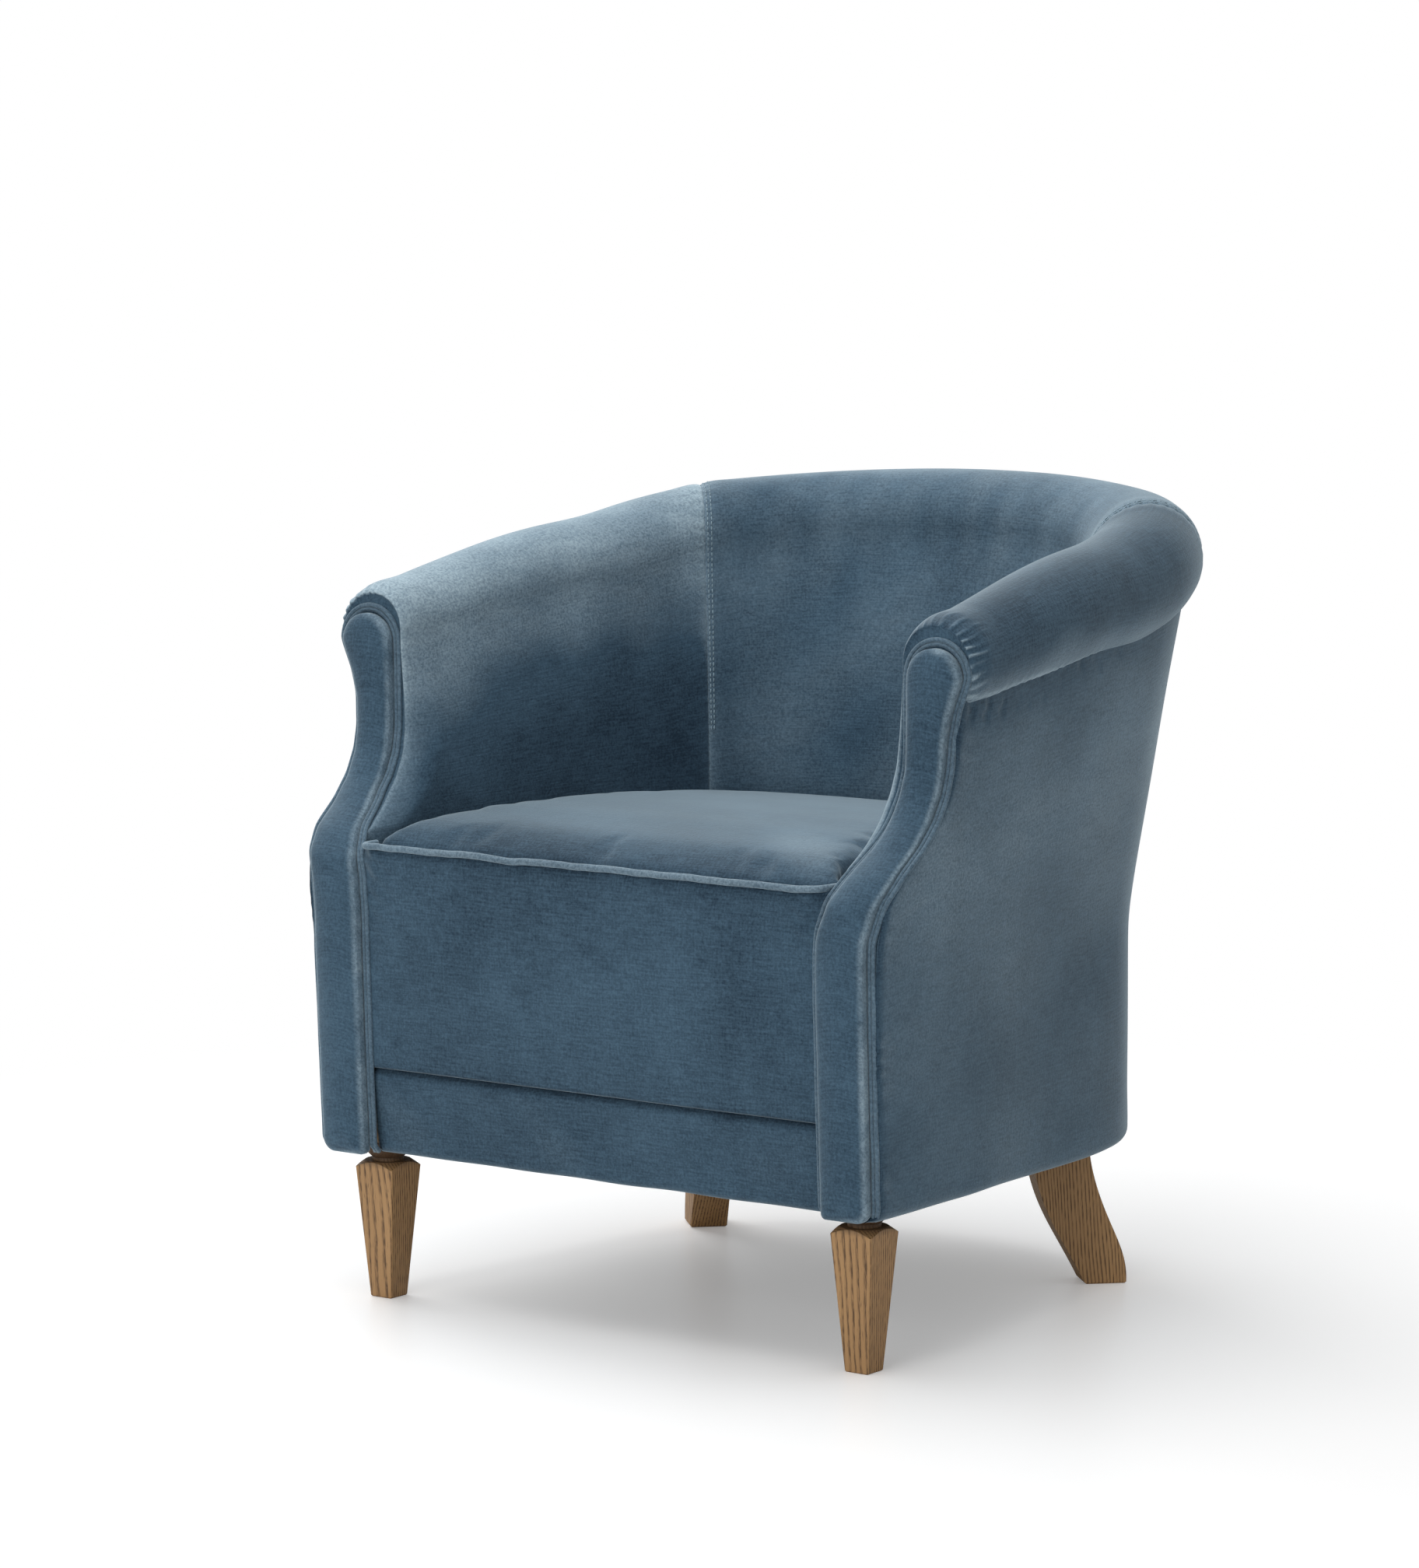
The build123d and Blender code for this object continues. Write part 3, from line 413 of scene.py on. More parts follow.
@dataclass(frozen=True)
class Shell:
    """Horseshoe shell of the chair: heights, profile and seams.

    A pair such as sag_starts is a place and the length of a change from there.
    """

    plan: Plan = Plan()
    facing: Facing = Facing()
    crest_back: float = 756.0
    crest_front: float = 653.5
    crest_fall: float = 1.95
    sag: float = 4.2
    sag_starts: Pair = (45.0, 50.0)
    sag_ends: Pair = (400.0, 120.0)
    sag_deepest: Hill = Hill(1.0, 350.0, 60.0)
    roll_front: float = 43.0
    roll_back: float = 53.5
    roll_grows: float = 430.0
    roll_head: float = 37.0
    roll_swells: Pair = (34.0, 30.0)
    roll_past: float = 1.2
    roll_angle: Pair = (33.0, 15.0)
    roll_turns: Pair = (60.0, 330.0)
    lean: float = 0.115
    lean_grows: float = 0.00013
    lean_starts: float = 30.0
    hollow: float = 5.0
    hollow_depth: float = 250.0
    flare: float = 6.0
    flare_length: float = 120.0
    narrow_length: float = 44.0
    outer_low: float = 4.0
    outer_slant: float = 0.039
    corner_full: Hill = Hill(7.0, 390.0, 90.0)
    corner_below: Pair = (420.0, -200.0)
    outer_top: float = 29.0
    outer_top_gain: float = 6.0
    outer_top_length: float = 400.0
    kink: float = 350.0
    kink_soft: float = 0.004
    hem: float = 142.2
    hem_round: float = 12.0
    seat_level: float = 445.0
    foot: float = 402.0
    seam_inner: Pair = (190.0, 402.0)
    seam_crest: Pair = (258.5, 478.5)
    seam_search: Pair = (330.0, 560.0)
    halvings: int = 26

    def crest(self, s: Array) -> Array:
        """Height of the crest: it falls from the back by a power of the distance, with a
        shallow sag over the arms that is deepest before the seams."""
        q = self.plan.fold(s)
        share = np.clip(1 - q / self.plan.length, 0, None)
        sag = step(q, *self.sag_starts) * (1 - step(q, *self.sag_ends)) + self.sag_deepest.at(q)
        fall = (self.crest_back - self.crest_front) * share**self.crest_fall
        return self.crest_back - fall - self.sag * sag

    def roll(self, s: Array) -> Array:
        """Radius of the roll's line, growing from the arms to the back."""
        gain = self.roll_back - self.roll_front
        return self.roll_front + gain * step(self.plan.fold(s), 0, self.roll_grows)

    def roll_radius(self, s: Array) -> Array:
        """Radius of the roll, which swells behind the arm's head."""
        swelling = ease(ramp(self.plan.fold(s), *self.roll_swells))
        return self.roll_head + (self.roll(s) - self.roll_head) * swelling

    def roll_end(self, s: Array) -> Array:
        """Angle where the roll meets the outside cover, below its centre."""
        angle, gain = self.roll_angle
        return -np.radians(angle + gain * ramp(self.plan.fold(s), *self.roll_turns))

    def inner_n(self, s: Array, z: Array) -> Array:
        """Inner face, outwards from the crest line: it leans in below the roll, and narrows
        behind the facing to the inner edge of the piping.

        Args:
            s: Distance along the crest.
            z: Height, of which anything below the seat counts as the seat's.

        Returns:
            Distance outwards, below zero inside the crest line.
        """
        q = self.plan.fold(s)
        z = np.maximum(z, self.seat_level)
        roll = self.roll(s)
        depth = np.clip(self.crest(s) - roll - z, 0, None)
        lean = (self.lean + self.lean_grows * q) * depth
        lean = lean + self.hollow * np.sin(np.pi * ramp(depth, 0, self.hollow_depth))
        flare = self.flare * fade(np.clip(q, 0, None), self.flare_length)
        full = -roll - lean * (1 - fade(depth, self.lean_starts)) + flare
        edge = self.facing.inner_x(z) - self.facing.margin - self.plan.half_width
        return edge + (full - edge) * ease((q - self.facing.front(z)) / self.narrow_length)

    def outer_n(self, s: Array, z: Array) -> Array:
        """Outer face: upright below the kink and flaring out above it, with a soft bend.

        Args:
            s: Distance along the crest.
            z: Height.

        Returns:
            Distance outwards from the crest line.
        """
        q = self.plan.fold(s)
        full = self.corner_full.at(q) * step(z, *self.corner_below)
        low = self.outer_low - self.outer_slant * q + full
        top = self.outer_top + self.outer_top_gain * ramp(q, 0, self.outer_top_length)
        join = self.crest(s) - self.roll(s) * (1 - np.sin(self.roll_end(s)))
        t = (z - self.kink) / (join - self.kink)
        return low + (top - low) * (t + np.sqrt(t * t + self.kink_soft)) / 2

    def inside(self, s: Array, v: Array) -> Array:
        """Point of the inside cover.

        Args:
            s: Distance along the crest.
            v: 0 to 1 up the inner face, 1 to 2 over the roll to the outside.

        Returns:
            Points: on the face z goes straight up, on the roll they lie on a circle that
            starts at the face and slides out to the crest line.
        """
        centre = self.crest(s) - self.roll(s)
        z_face = self.foot + (centre - self.foot) * np.clip(v, 0, 1)
        radius = self.roll_radius(s)
        t = np.clip(v - 1, 0, self.roll_past)
        angle = np.pi - (np.pi - self.roll_end(s)) * t
        slide = (self.inner_n(s, centre) + radius) * (1 - ease(2 * t))
        on_roll = v > 1
        n = np.where(on_roll, radius * np.cos(angle) + slide, self.inner_n(s, z_face))
        z = np.where(on_roll, centre + radius * np.sin(angle), z_face)
        return np.stack([*self.plan.at(s, n), z], -1)

    def front_edge(self, v: Array, behind: float) -> Array:
        """Distance along the crest where the inside cover meets the facing, at each v."""

        def missing(s: Array) -> Array:
            """How far the cover's point lies in front of the facing's rear."""
            point = self.inside(s, v)
            return self.facing.front(point[..., 2]) + behind - point[..., 1]

        return settled(np.full(np.shape(v), 20.0), missing, 12)

    def seam(self, v: Array) -> Array:
        """Distance along the crest where the arm's cover meets the back's, at each v: the
        seam's upright plane is found by halving."""
        ax, ay = self.seam_inner
        dx, dy = self.seam_crest[0] - ax, self.seam_crest[1] - ay
        low, high = (np.full(np.shape(v), limit) for limit in self.seam_search)
        for _ in range(self.halvings):
            middle = (low + high) / 2
            point = self.inside(middle, v)
            past = dx * (point[..., 1] - ay) - dy * (point[..., 0] - ax) > 0
            low, high = np.where(past, low, middle), np.where(past, middle, high)
        return (low + high) / 2


# ---- Turning points into pieces ----


@dataclass
class Workshop:
    """Makes meshes from grids of points, in the row frame and in metres."""

    shift_y: float
    pieces: list[str] = field(default_factory=list)

    def place(self, points: Array, side: Side = Side.RIGHT) -> Array:
        """Points of the leg frame in millimetres, mirrored for the left side and moved to the
        row frame in metres."""
        return (points * np.array([side.value, 1.0, 1.0]) + np.array([0.0, self.shift_y, 0.0])) * MM

    def grid(
        self,
        name: str,
        points: Array,
        side: Side = Side.RIGHT,
        uv: Array | None = None,
        wrap: bool = False,
        flip: bool = False,
        painted_light_and_nap: Array | None = None,
    ) -> Piece:
        """Mesh of quads over a grid of points.

        Args:
            name: Name of the piece.
            points: Grid of points in millimetres, coordinates last.
            side: LEFT mirrors the points in the plane X = 0.
            uv: Grid of texture coordinates in metres, or None to measure them on the grid.
            wrap: Joins the last column to the first.
            flip: Turns the faces round.
            painted_light_and_nap: Painted light and shade at each point, with any random patches: 1
                lightest, -1 darkest.

        Returns:
            The new object, linked to the scene.
        """
        rows, cols = points.shape[:2]
        if uv is None:
            uv = lengths_of(points)
        index = np.arange(rows * cols).reshape(rows, cols)
        if wrap:
            index = np.concatenate([index, index[:, :1]], axis=1)
        quads = np.stack([index[:-1, :-1], index[1:, :-1], index[1:, 1:], index[:-1, 1:]], -1)
        quads = quads.reshape(-1, 4)
        if flip != (side is Side.LEFT):
            quads = quads[:, ::-1]
        mesh = bpy.data.meshes.new(name)
        mesh.from_pydata(self.place(points, side).reshape(-1, 3), [], quads.tolist())
        layer = mesh.uv_layers.new(name="cloth")
        corners = uv.reshape(-1, 2)[quads.reshape(-1)]
        layer.data.foreach_set("uv", corners.astype(np.float32).ravel())
        if painted_light_and_nap is not None:
            set_painted_light_and_nap(mesh, np.broadcast_to(painted_light_and_nap, (rows, cols)))
        return self.add(name, mesh)

    def add(self, name: str, mesh: Mesh) -> Piece:
        """Links a mesh to the scene as a smooth piece that rides on the chair."""
        mesh.validate()
        mesh.shade_smooth()
        piece = bpy.data.objects.new(name, mesh)
        bpy.context.scene.collection.objects.link(piece)
        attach(piece, "root")
        self.pieces.append(name)
        LOG.info("%s: %d faces", name, len(mesh.polygons))
        return piece

    def loose_rings(self, name: str, rings: Array, side: Side = Side.RIGHT) -> Piece:
        """Mesh of many small closed tubes.

        Args:
            name: Name of the piece.
            rings: Array of tube, ring, corner and axis, in millimetres.
            side: LEFT mirrors the points.

        Returns:
            The new object, linked to the scene.
        """
        shape = rings.shape[:3]
        index = np.arange(math.prod(shape)).reshape(shape)
        turned = np.roll(index, -1, axis=2)
        walls = np.stack([index[:, :-1], index[:, 1:], turned[:, 1:], turned[:, :-1]], -1)
        caps = np.concatenate([index[:, 0], index[:, -1, ::-1]])
        way = slice(None) if side is Side.RIGHT else slice(None, None, -1)
        faces = walls.reshape(-1, 4)[:, way].tolist() + caps[:, way].tolist()
        mesh = bpy.data.meshes.new(name)
        mesh.from_pydata(self.place(rings, side).reshape(-1, 3), [], faces)
        return self.add(name, mesh)


def set_painted_light_and_nap(mesh: Mesh, values: Array | float) -> None:
    """Keeps on each point its painted light and shade, with any random patches: 1 lightest, -1 darkest.
    """
    layer = mesh.attributes.new("painted_light_and_nap", "FLOAT", "POINT")
    lie = np.broadcast_to(np.clip(values, -1, 1).astype(np.float32).ravel(), len(mesh.vertices))
    layer.data.foreach_set("value", np.ascontiguousarray(lie))


def lengths_of(points: Array) -> Array:
    """Texture coordinates of a grid in metres: U is the mean length along its rows, V the
    mean length from row to row."""
    u, v = (np.linalg.norm(np.diff(points, axis=axis), axis=-1).mean(1 - axis) for axis in (1, 0))
    u, v = (np.concatenate([[0], np.cumsum(lengths)]) * MM for lengths in (u, v))
    return np.stack(np.meshgrid(u, v), -1)


def tube(path: Array, radius: float, across: Sequence[float], sides: int = 14) -> Array:
    """Grid of a round cord: rings square to the path's tangents.

    Args:
        path: Points along the cord.
        radius: Radius of the cord.
        across: A direction that is nowhere along the path.
        sides: Points in a ring.

    Returns:
        Grid of points, one row for each point of the path and one to close each end.
    """
    tangent = np.gradient(path, axis=0)
    tangent /= np.linalg.norm(tangent, axis=1, keepdims=True)
    first = np.cross(tangent, np.array([across], float))
    first /= np.linalg.norm(first, axis=1, keepdims=True)
    second = np.cross(tangent, first)
    turn = np.linspace(0, 2 * np.pi, sides, endpoint=False)[None, :, None]
    grid = path[:, None] + radius * (np.cos(turn) * first[:, None] + np.sin(turn) * second[:, None])
    first_cap, last_cap = (np.repeat(end[None], sides, 1) for end in (path[:1], path[-1:]))
    return np.concatenate([first_cap, grid, last_cap])


def thicken(piece: Piece) -> None:
    """Gives a sheet the thickness of the cloth, inwards."""
    wall = piece.modifiers.new("thickness", "SOLIDIFY")
    wall.thickness = CLOTH * MM
    wall.offset = -1.0


def coordinates(mesh: Mesh) -> Array:
    """Points of a mesh as an array."""
    where = np.zeros(len(mesh.vertices) * 3, np.float32)
    mesh.vertices.foreach_get("co", where)
    return where.reshape(-1, 3).astype(float)


def move_points(mesh: Mesh, where: Array) -> None:
    """Moves the points of a mesh."""
    mesh.vertices.foreach_set("co", where.astype(np.float32).ravel())


def cloth_map(piece: Piece) -> None:
    """Texture coordinates for cloth that runs up a front and back over a top: X across, and
    Y plus Z along."""
    mesh = piece.data
    where = coordinates(mesh)
    corner = np.zeros(len(mesh.loops), np.int32)
    mesh.loops.foreach_get("vertex_index", corner)
    uv = np.stack([where[:, 0], where[:, 1] + where[:, 2]], 1)[corner]
    layer = mesh.uv_layers.get("cloth") or mesh.uv_layers.new(name="cloth")
    layer.data.foreach_set("uv", uv.astype(np.float32).ravel())


def merge_close(piece: Piece, distance: float) -> None:
    """Welds points of a mesh that lie within a distance in millimetres."""
    work = bmesh.new()
    work.from_mesh(piece.data)
    bmesh.ops.remove_doubles(work, verts=work.verts, dist=distance * MM)
    bmesh.ops.recalc_face_normals(work, faces=work.faces)
    work.to_mesh(piece.data)
    work.free()
    piece.data.shade_smooth()


def apply_modifiers(piece: Piece) -> None:
    """Puts the result of a piece's modifiers into its own mesh."""
    seen = piece.evaluated_get(bpy.context.evaluated_depsgraph_get())
    made = bpy.data.meshes.new_from_object(seen)
    piece.modifiers.clear()
    piece.data = made


# ---- Finishes ----


class Nodes:
    """Short way to place and join the nodes of one tree."""

    def __init__(self, tree: Tree) -> None:
        """Keeps the tree and starts its layout."""
        self.tree = tree
        self.count = 0

    def add(self, kind: str, values: Values | None = None, **settings: object) -> bpy.types.Node:
        """Adds a node.

        Args:
            kind: The node's type name.
            values: Sockets to set, or outputs to join to them.
            **settings: Properties of the node.

        Returns:
            The new node.
        """
        node = self.tree.nodes.new(kind)
        node.location = (180 * self.count, -60 * (self.count % 5))
        self.count += 1
        for key, value in settings.items():
            setattr(node, key, value)
        for socket, value in (values or {}).items():
            if isinstance(value, Socket):
                self.tree.links.new(value, node.inputs[socket])
            else:
                node.inputs[socket].default_value = value
        return node

    def object_place(self) -> Socket:
        """Object coordinates of a material."""
        return self.add("ShaderNodeTexCoord").outputs["Object"]

    def math(self, operation: str, *values: object) -> Socket:
        """Adds a Math node on two or three values and gives its output."""
        return self.add("ShaderNodeMath", dict(enumerate(values)), operation=operation).outputs[0]

    def weighted(self, first: Socket, share: float, second: Socket, rest: float) -> Socket:
        """Sum of two values, each times its weight."""
        return self.math("MULTIPLY_ADD", first, share, self.math("MULTIPLY", second, rest))

    def spread(self, value: Socket, low: float, high: float) -> Socket:
        """Stretches the part of a value between low and high to 0 to 1."""
        node = self.add("ShaderNodeMapRange", {"Value": value, "From Min": low, "From Max": high})
        return node.outputs["Result"]

    def noise(
        self, place: Socket, scale: float, detail: float, rough: float = 0.5, bent: float = 0.0
    ) -> Socket:
        """Adds a noise texture.

        Args:
            place: Coordinates.
            scale: Size of its pattern, in waves for each unit.
            detail: Number of finer octaves.
            rough: Strength of each octave by the one before it.
            bent: Distortion.

        Returns:
            Its value, about 0.5 on average.
        """
        values = {"Vector": place, "Scale": scale, "Detail": detail, "Roughness": rough,
                  "Distortion": bent}
        return self.add("ShaderNodeTexNoise", values).outputs[0]

    def stretched(self, place: Socket, scale: tuple[float, float, float]) -> Socket:
        """Coordinates scaled along each axis."""
        return self.add("ShaderNodeMapping", {"Vector": place, "Scale": scale}).outputs[0]

    def bump(self, height: Socket, strength: float) -> Socket:
        """Normal of a relief that is 0.4 mm deep at full strength."""
        values = {"Strength": strength, "Distance": 0.0004, "Height": height}
        return self.add("ShaderNodeBump", values).outputs[0]

    def blend(self, share: Socket, first: object, second: object) -> Socket:
        """Mixes two colours by a share."""
        values = {0: share, 6: first, 7: second}
        return self.add("ShaderNodeMix", values, data_type="RGBA").outputs[2]

    def surface(self, values: Values) -> None:
        """Ends a material with a Principled shader and the output."""
        shader = self.add("ShaderNodeBsdfPrincipled", values)
        self.add("ShaderNodeOutputMaterial", {"Surface": shader.outputs[0]})


def new_group(name: str, source: str, outputs: Sequence[str]) -> tuple[Nodes, Socket]:
    """Shader node group from one vector to some values.

    Args:
        name: Name of the group.
        source: Name of the vector.
        outputs: Names of the values.

    Returns:
        The group's nodes and the vector's socket inside it.
    """
    tree = bpy.data.node_groups.new(name, "ShaderNodeTree")
    tree.interface.new_socket(source, in_out="INPUT", socket_type="NodeSocketVector")
    for output in outputs:
        tree.interface.new_socket(output, in_out="OUTPUT", socket_type="NodeSocketFloat")
    n = Nodes(tree)
    return n, n.add("NodeGroupInput").outputs[source]


def nap_group() -> Tree:
    """Brushed nap of velvet: soft patches where the pile lies another way, and fine streaks.

    Returns:
        Group from Object coordinates to a patch value, a streak value and a height for relief.
    """
    n, place = new_group("velvet_nap", "Place", ("Patches", "Streaks", "Relief"))
    large = n.noise(place, 5.0, 3.0, bent=0.6)
    small = n.noise(place, 26.0, 4.0, 0.6)
    pile = n.noise(place, 420.0, 3.0, 0.65)
    streaks = n.noise(n.stretched(place, (14.0, 14.0, 48.0)), 1.0, 3.0, bent=0.8)
    n.add("NodeGroupOutput", {"Patches": n.spread(n.weighted(small, 0.4, large, 0.6), 0.36, 0.64),
                              "Streaks": n.spread(streaks, 0.40, 0.66),
                              "Relief": n.spread(pile, 0.36, 0.64)})
    return n.tree


def slub_group() -> Tree:
    """Weft of the velvet's ground: thin uneven lines that run across the cloth.

    Returns:
        Group from cloth coordinates in metres to a line value.
    """
    n, cloth = new_group("velvet_slub", "Cloth", ("Lines",))
    weft = n.noise(n.stretched(cloth, (40.0, 520.0, 1.0)), 1.0, 3.0)
    warp = n.noise(n.stretched(cloth, (560.0, 60.0, 1.0)), 1.0, 2.0)
    n.add("NodeGroupOutput", {"Lines": n.spread(n.weighted(warp, 0.35, weft, 0.65), 0.38, 0.62)})
    return n.tree


def grain_group() -> Tree:
    """Ring-porous grain: growth rings nearly parallel to the front, so that they stand wide
    and slanting on the front face and fine and straight on the side, and broken dark pores
    along them.

    Returns:
        Group from Object coordinates to a band value and a pore mask.
    """
    n, place = new_group("oak_grain", "Place", ("Bands", "Pores"))
    across = n.add("ShaderNodeVectorMath", {0: place, 1: (135.0, 300.0, 26.0)}, operation="DOT_PRODUCT")
    warp = n.noise(n.stretched(place, (22.0, 22.0, 4.0)), 1.0, 2.0)
    ring = n.math("FRACT", n.math("MULTIPLY_ADD", warp, 3.4, across.outputs["Value"]))
    late = n.math("MULTIPLY", n.spread(ring, 0.45, 0.78), n.spread(ring, 1.0, 0.93))
    pore = n.noise(n.stretched(place, (900.0, 900.0, 70.0)), 1.0, 2.0)
    broken = n.math("MULTIPLY", late, n.spread(pore, 0.38, 0.58))
    stray = n.math("MULTIPLY", n.spread(pore, 0.62, 0.74), 0.5)
    n.add("NodeGroupOutput", {"Bands": n.weighted(late, 0.35, warp, 0.7),
                              "Pores": n.math("MAXIMUM", n.math("MULTIPLY", broken, 0.85), stray)})
    return n.tree


def bare(name: str) -> tuple[Material, Nodes]:
    """New material without any node."""
    material = bpy.data.materials.new(name)
    material.use_nodes = True
    material.node_tree.nodes.clear()
    return material, Nodes(material.node_tree)


@dataclass(frozen=True)
class Velvet:
    """Short-pile cotton velvet."""

    name: str = "slate_blue_velvet"
    deep: Colour = (0.012, 0.030, 0.052, 1.0)
    light: Colour = (0.070, 0.132, 0.192, 1.0)
    bloom: Colour = (0.60, 0.72, 0.80, 1.0)
    # Painted sheen colour, blended in at grazing view and where painted highlights lie.
    rim: Colour = (0.43, 0.54, 0.60, 1.0)
    painted_sheen_share: float = 0.35
    painted_sheen_power: float = 3.0
    weft_share: float = 0.30
    pile_share: float = 0.36
    patch_share: float = 0.34
    # Share of each piece's painted light and shade in the ground, and strength and cap of its painted
    # highlight.
    painted_light_and_nap_share: float = 0.45
    painted_highlight_strength: float = 0.8
    brightest: float = 0.9
    relief: float = 0.5
    roughness: float = 0.8
    specular: float = 0.2
    sheen: float = 0.55
    sheen_roughness: float = 0.30

    def build(self, nap: Tree, slub: Tree) -> Material:
        """Makes the material.

        The ground's lightness is a sum of the weave, the pile, the patches and each piece's
        painted light and shade, and where that painted light is above zero or the surface turns its
        edge to the camera the colour is blended towards the rim colour, a painted sheen.

        Args:
            nap: Group of the brushed nap.
            slub: Group of the weft lines.

        Returns:
            The material.
        """
        material, n = bare(self.name)
        nap_values = n.add("ShaderNodeGroup", {"Place": n.object_place()}, node_tree=nap).outputs
        cloth = n.add("ShaderNodeUVMap", uv_map="cloth").outputs[0]
        lines = n.add("ShaderNodeGroup", {"Cloth": cloth}, node_tree=slub).outputs["Lines"]
        # Painted light and shade of each piece, with its random patches.
        painted_light_and_nap = n.add("ShaderNodeAttribute", attribute_name="painted_light_and_nap").outputs["Fac"]
        pile = nap_values["Relief"]
        share = n.weighted(lines, self.weft_share, pile, self.pile_share)
        share = n.math("MULTIPLY_ADD", nap_values["Patches"], self.patch_share, share)
        share = n.math("MULTIPLY_ADD", painted_light_and_nap, self.painted_light_and_nap_share, share)
        share = n.math("MINIMUM", n.math("MAXIMUM", share, 0.0), 1.0)
        ground = n.blend(share, self.deep, self.light)
        streaks = n.math("MULTIPLY_ADD", pile, 0.5, 0.3)
        streaks = n.math("MULTIPLY_ADD", nap_values["Streaks"], 0.2, streaks)
        # Painted highlight where a piece's painted light is above zero, broken up by the pile.
        painted_highlight = n.math("MULTIPLY", n.math("MAXIMUM", painted_light_and_nap, 0.0), streaks)
        # Painted sheen, growing where the surface turns its edge to the camera.
        facing = n.add("ShaderNodeLayerWeight", {"Blend": 0.5}).outputs["Facing"]
        edge = n.math("MULTIPLY", n.math("POWER", facing, self.painted_sheen_power), self.painted_sheen_share)
        lit = n.math("MULTIPLY_ADD", painted_highlight, self.painted_highlight_strength, edge)
        n.surface({
            "Base Color": n.blend(n.math("MINIMUM", lit, self.brightest), ground, self.rim),
            "Normal": n.bump(n.weighted(lines, 0.7, pile, 0.5), self.relief),
            "Roughness": self.roughness,
            "Specular IOR Level": self.specular,
            "Sheen Weight": self.sheen,
            "Sheen Roughness": self.sheen_roughness,
            "Sheen Tint": self.bloom,
        })
        return material


@dataclass(frozen=True)
class Wood:
    """Planed or stained timber with its grain up the Z axis."""

    name: str
    pale: Colour
    dark: Colour
    pore: Colour
    roughness: float = 0.55
    relief: float = 0.5
    # Strength of the painted shade, and the two heights in metres between which it grows.
    shade_strength: float = 0.96
    shade: Pair = (8.0, 9.0)

    def build(self, grain: Tree) -> Material:
        """Makes the material from the shared grain group, with painted shade that grows from the
        lower of two heights in metres to the upper, where a leg's top stands in the shadow under
        the cover."""
        material, n = bare(self.name)
        place = n.object_place()
        cut = n.add("ShaderNodeGroup", {"Place": place}, node_tree=grain).outputs
        bands, pores = cut["Bands"], cut["Pores"]
        colour = n.blend(pores, n.blend(bands, self.pale, self.dark), self.pore)
        # Painted shade: the colour turns to the pore colour towards the upper shade height.
        height = n.add("ShaderNodeSeparateXYZ", {"Vector": place}).outputs["Z"]
        shaded = n.math("MULTIPLY", n.spread(height, *self.shade), self.shade_strength)
        n.surface({
            "Base Color": n.blend(shaded, colour, self.pore),
            "Normal": n.bump(n.weighted(pores, -1.0, bands, -0.3), self.relief),
            "Roughness": n.math("MULTIPLY_ADD", pores, 0.2, self.roughness),
        })
        return material


@dataclass(frozen=True)
class Plain:
    """Finish of a hidden or small piece: one colour broken up by fine noise."""

    name: str
    colour: Colour
    roughness: float
    metallic: float = 0.0
    scale: float = 300.0
    relief: float = 0.3

    def build(self) -> Material:
        """Makes the material."""
        material, n = bare(self.name)
        noise = n.noise(n.object_place(), self.scale, 3.0)
        darker = tuple(c * 0.7 for c in self.colour[:3]) + (1.0,)
        n.surface({
            "Base Color": n.blend(n.spread(noise, 0.35, 0.65), darker, self.colour),
            "Normal": n.bump(noise, self.relief),
            "Roughness": self.roughness,
            "Metallic": self.metallic,
        })
        return material


@dataclass
class Finishes:
    """Every material of the chair, by the record's slot name, and the topstitching's."""

    by_slot: dict[str, Material] = field(default_factory=dict)
    thread: Material | None = None

    def build(self) -> None:
        """Makes the shared groups and all the materials."""
        grain = grain_group()
        # The oak is given painted shade on the legs' tops, under the cover's hem.
        oak = Wood("brown_oak", (0.47, 0.272, 0.114, 1), (0.28, 0.152, 0.060, 1),
                   (0.070, 0.037, 0.017, 1), shade=(0.124, 0.133))
        timber = Wood("planed_timber", (0.62, 0.44, 0.26, 1), (0.50, 0.34, 0.19, 1),
                      (0.30, 0.19, 0.10, 1))
        plain = {
            "board": Plain("plywood_board", (0.55, 0.40, 0.24, 1), 0.8, scale=60.0),
            "padding": Plain("white_wadding", (0.80, 0.78, 0.72, 1), 1.0),
            "webbing": Plain("jute_webbing", (0.45, 0.33, 0.18, 1), 0.9),
            "steel": Plain("plain_steel", (0.50, 0.50, 0.52, 1), 0.35, metallic=1.0),
            "black_cloth": Plain("black_lining", (0.012, 0.012, 0.013, 1), 0.95, scale=900.0),
        }
        self.by_slot = {slot: finish.build() for slot, finish in plain.items()}
        self.by_slot["velvet"] = Velvet().build(nap_group(), slub_group())
        self.by_slot["oak"] = oak.build(grain)
        self.by_slot["frame_timber"] = timber.build(grain)
        self.thread = Plain("blue_thread", (0.26, 0.36, 0.42, 1), 0.7).build()

    def dress(self, piece: Piece, slot: str, *replaced: str) -> Piece:
        """Gives a new piece the material of its slot, and hides the nodes that it stands for."""
        piece.data.materials.clear()
        piece.data.materials.append(self.by_slot[slot])
        if replaced:
            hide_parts(*replaced)
        return piece

    def dress_frame(self) -> None:
        """Gives every CAD node the material of its slot in the record."""
        for row in frame["record"]["subparts"]:
            node = frame["nodes"][row["node"]]
            node.data.materials.clear()
            node.data.materials.append(self.by_slot[row["material_slot"]])


# ---- Covers of the shell ----


@dataclass
class Maker:
    """What every group of pieces is made with: the form, the workshop and the finishes."""

    shell: Shell
    shop: Workshop
    finishes: Finishes


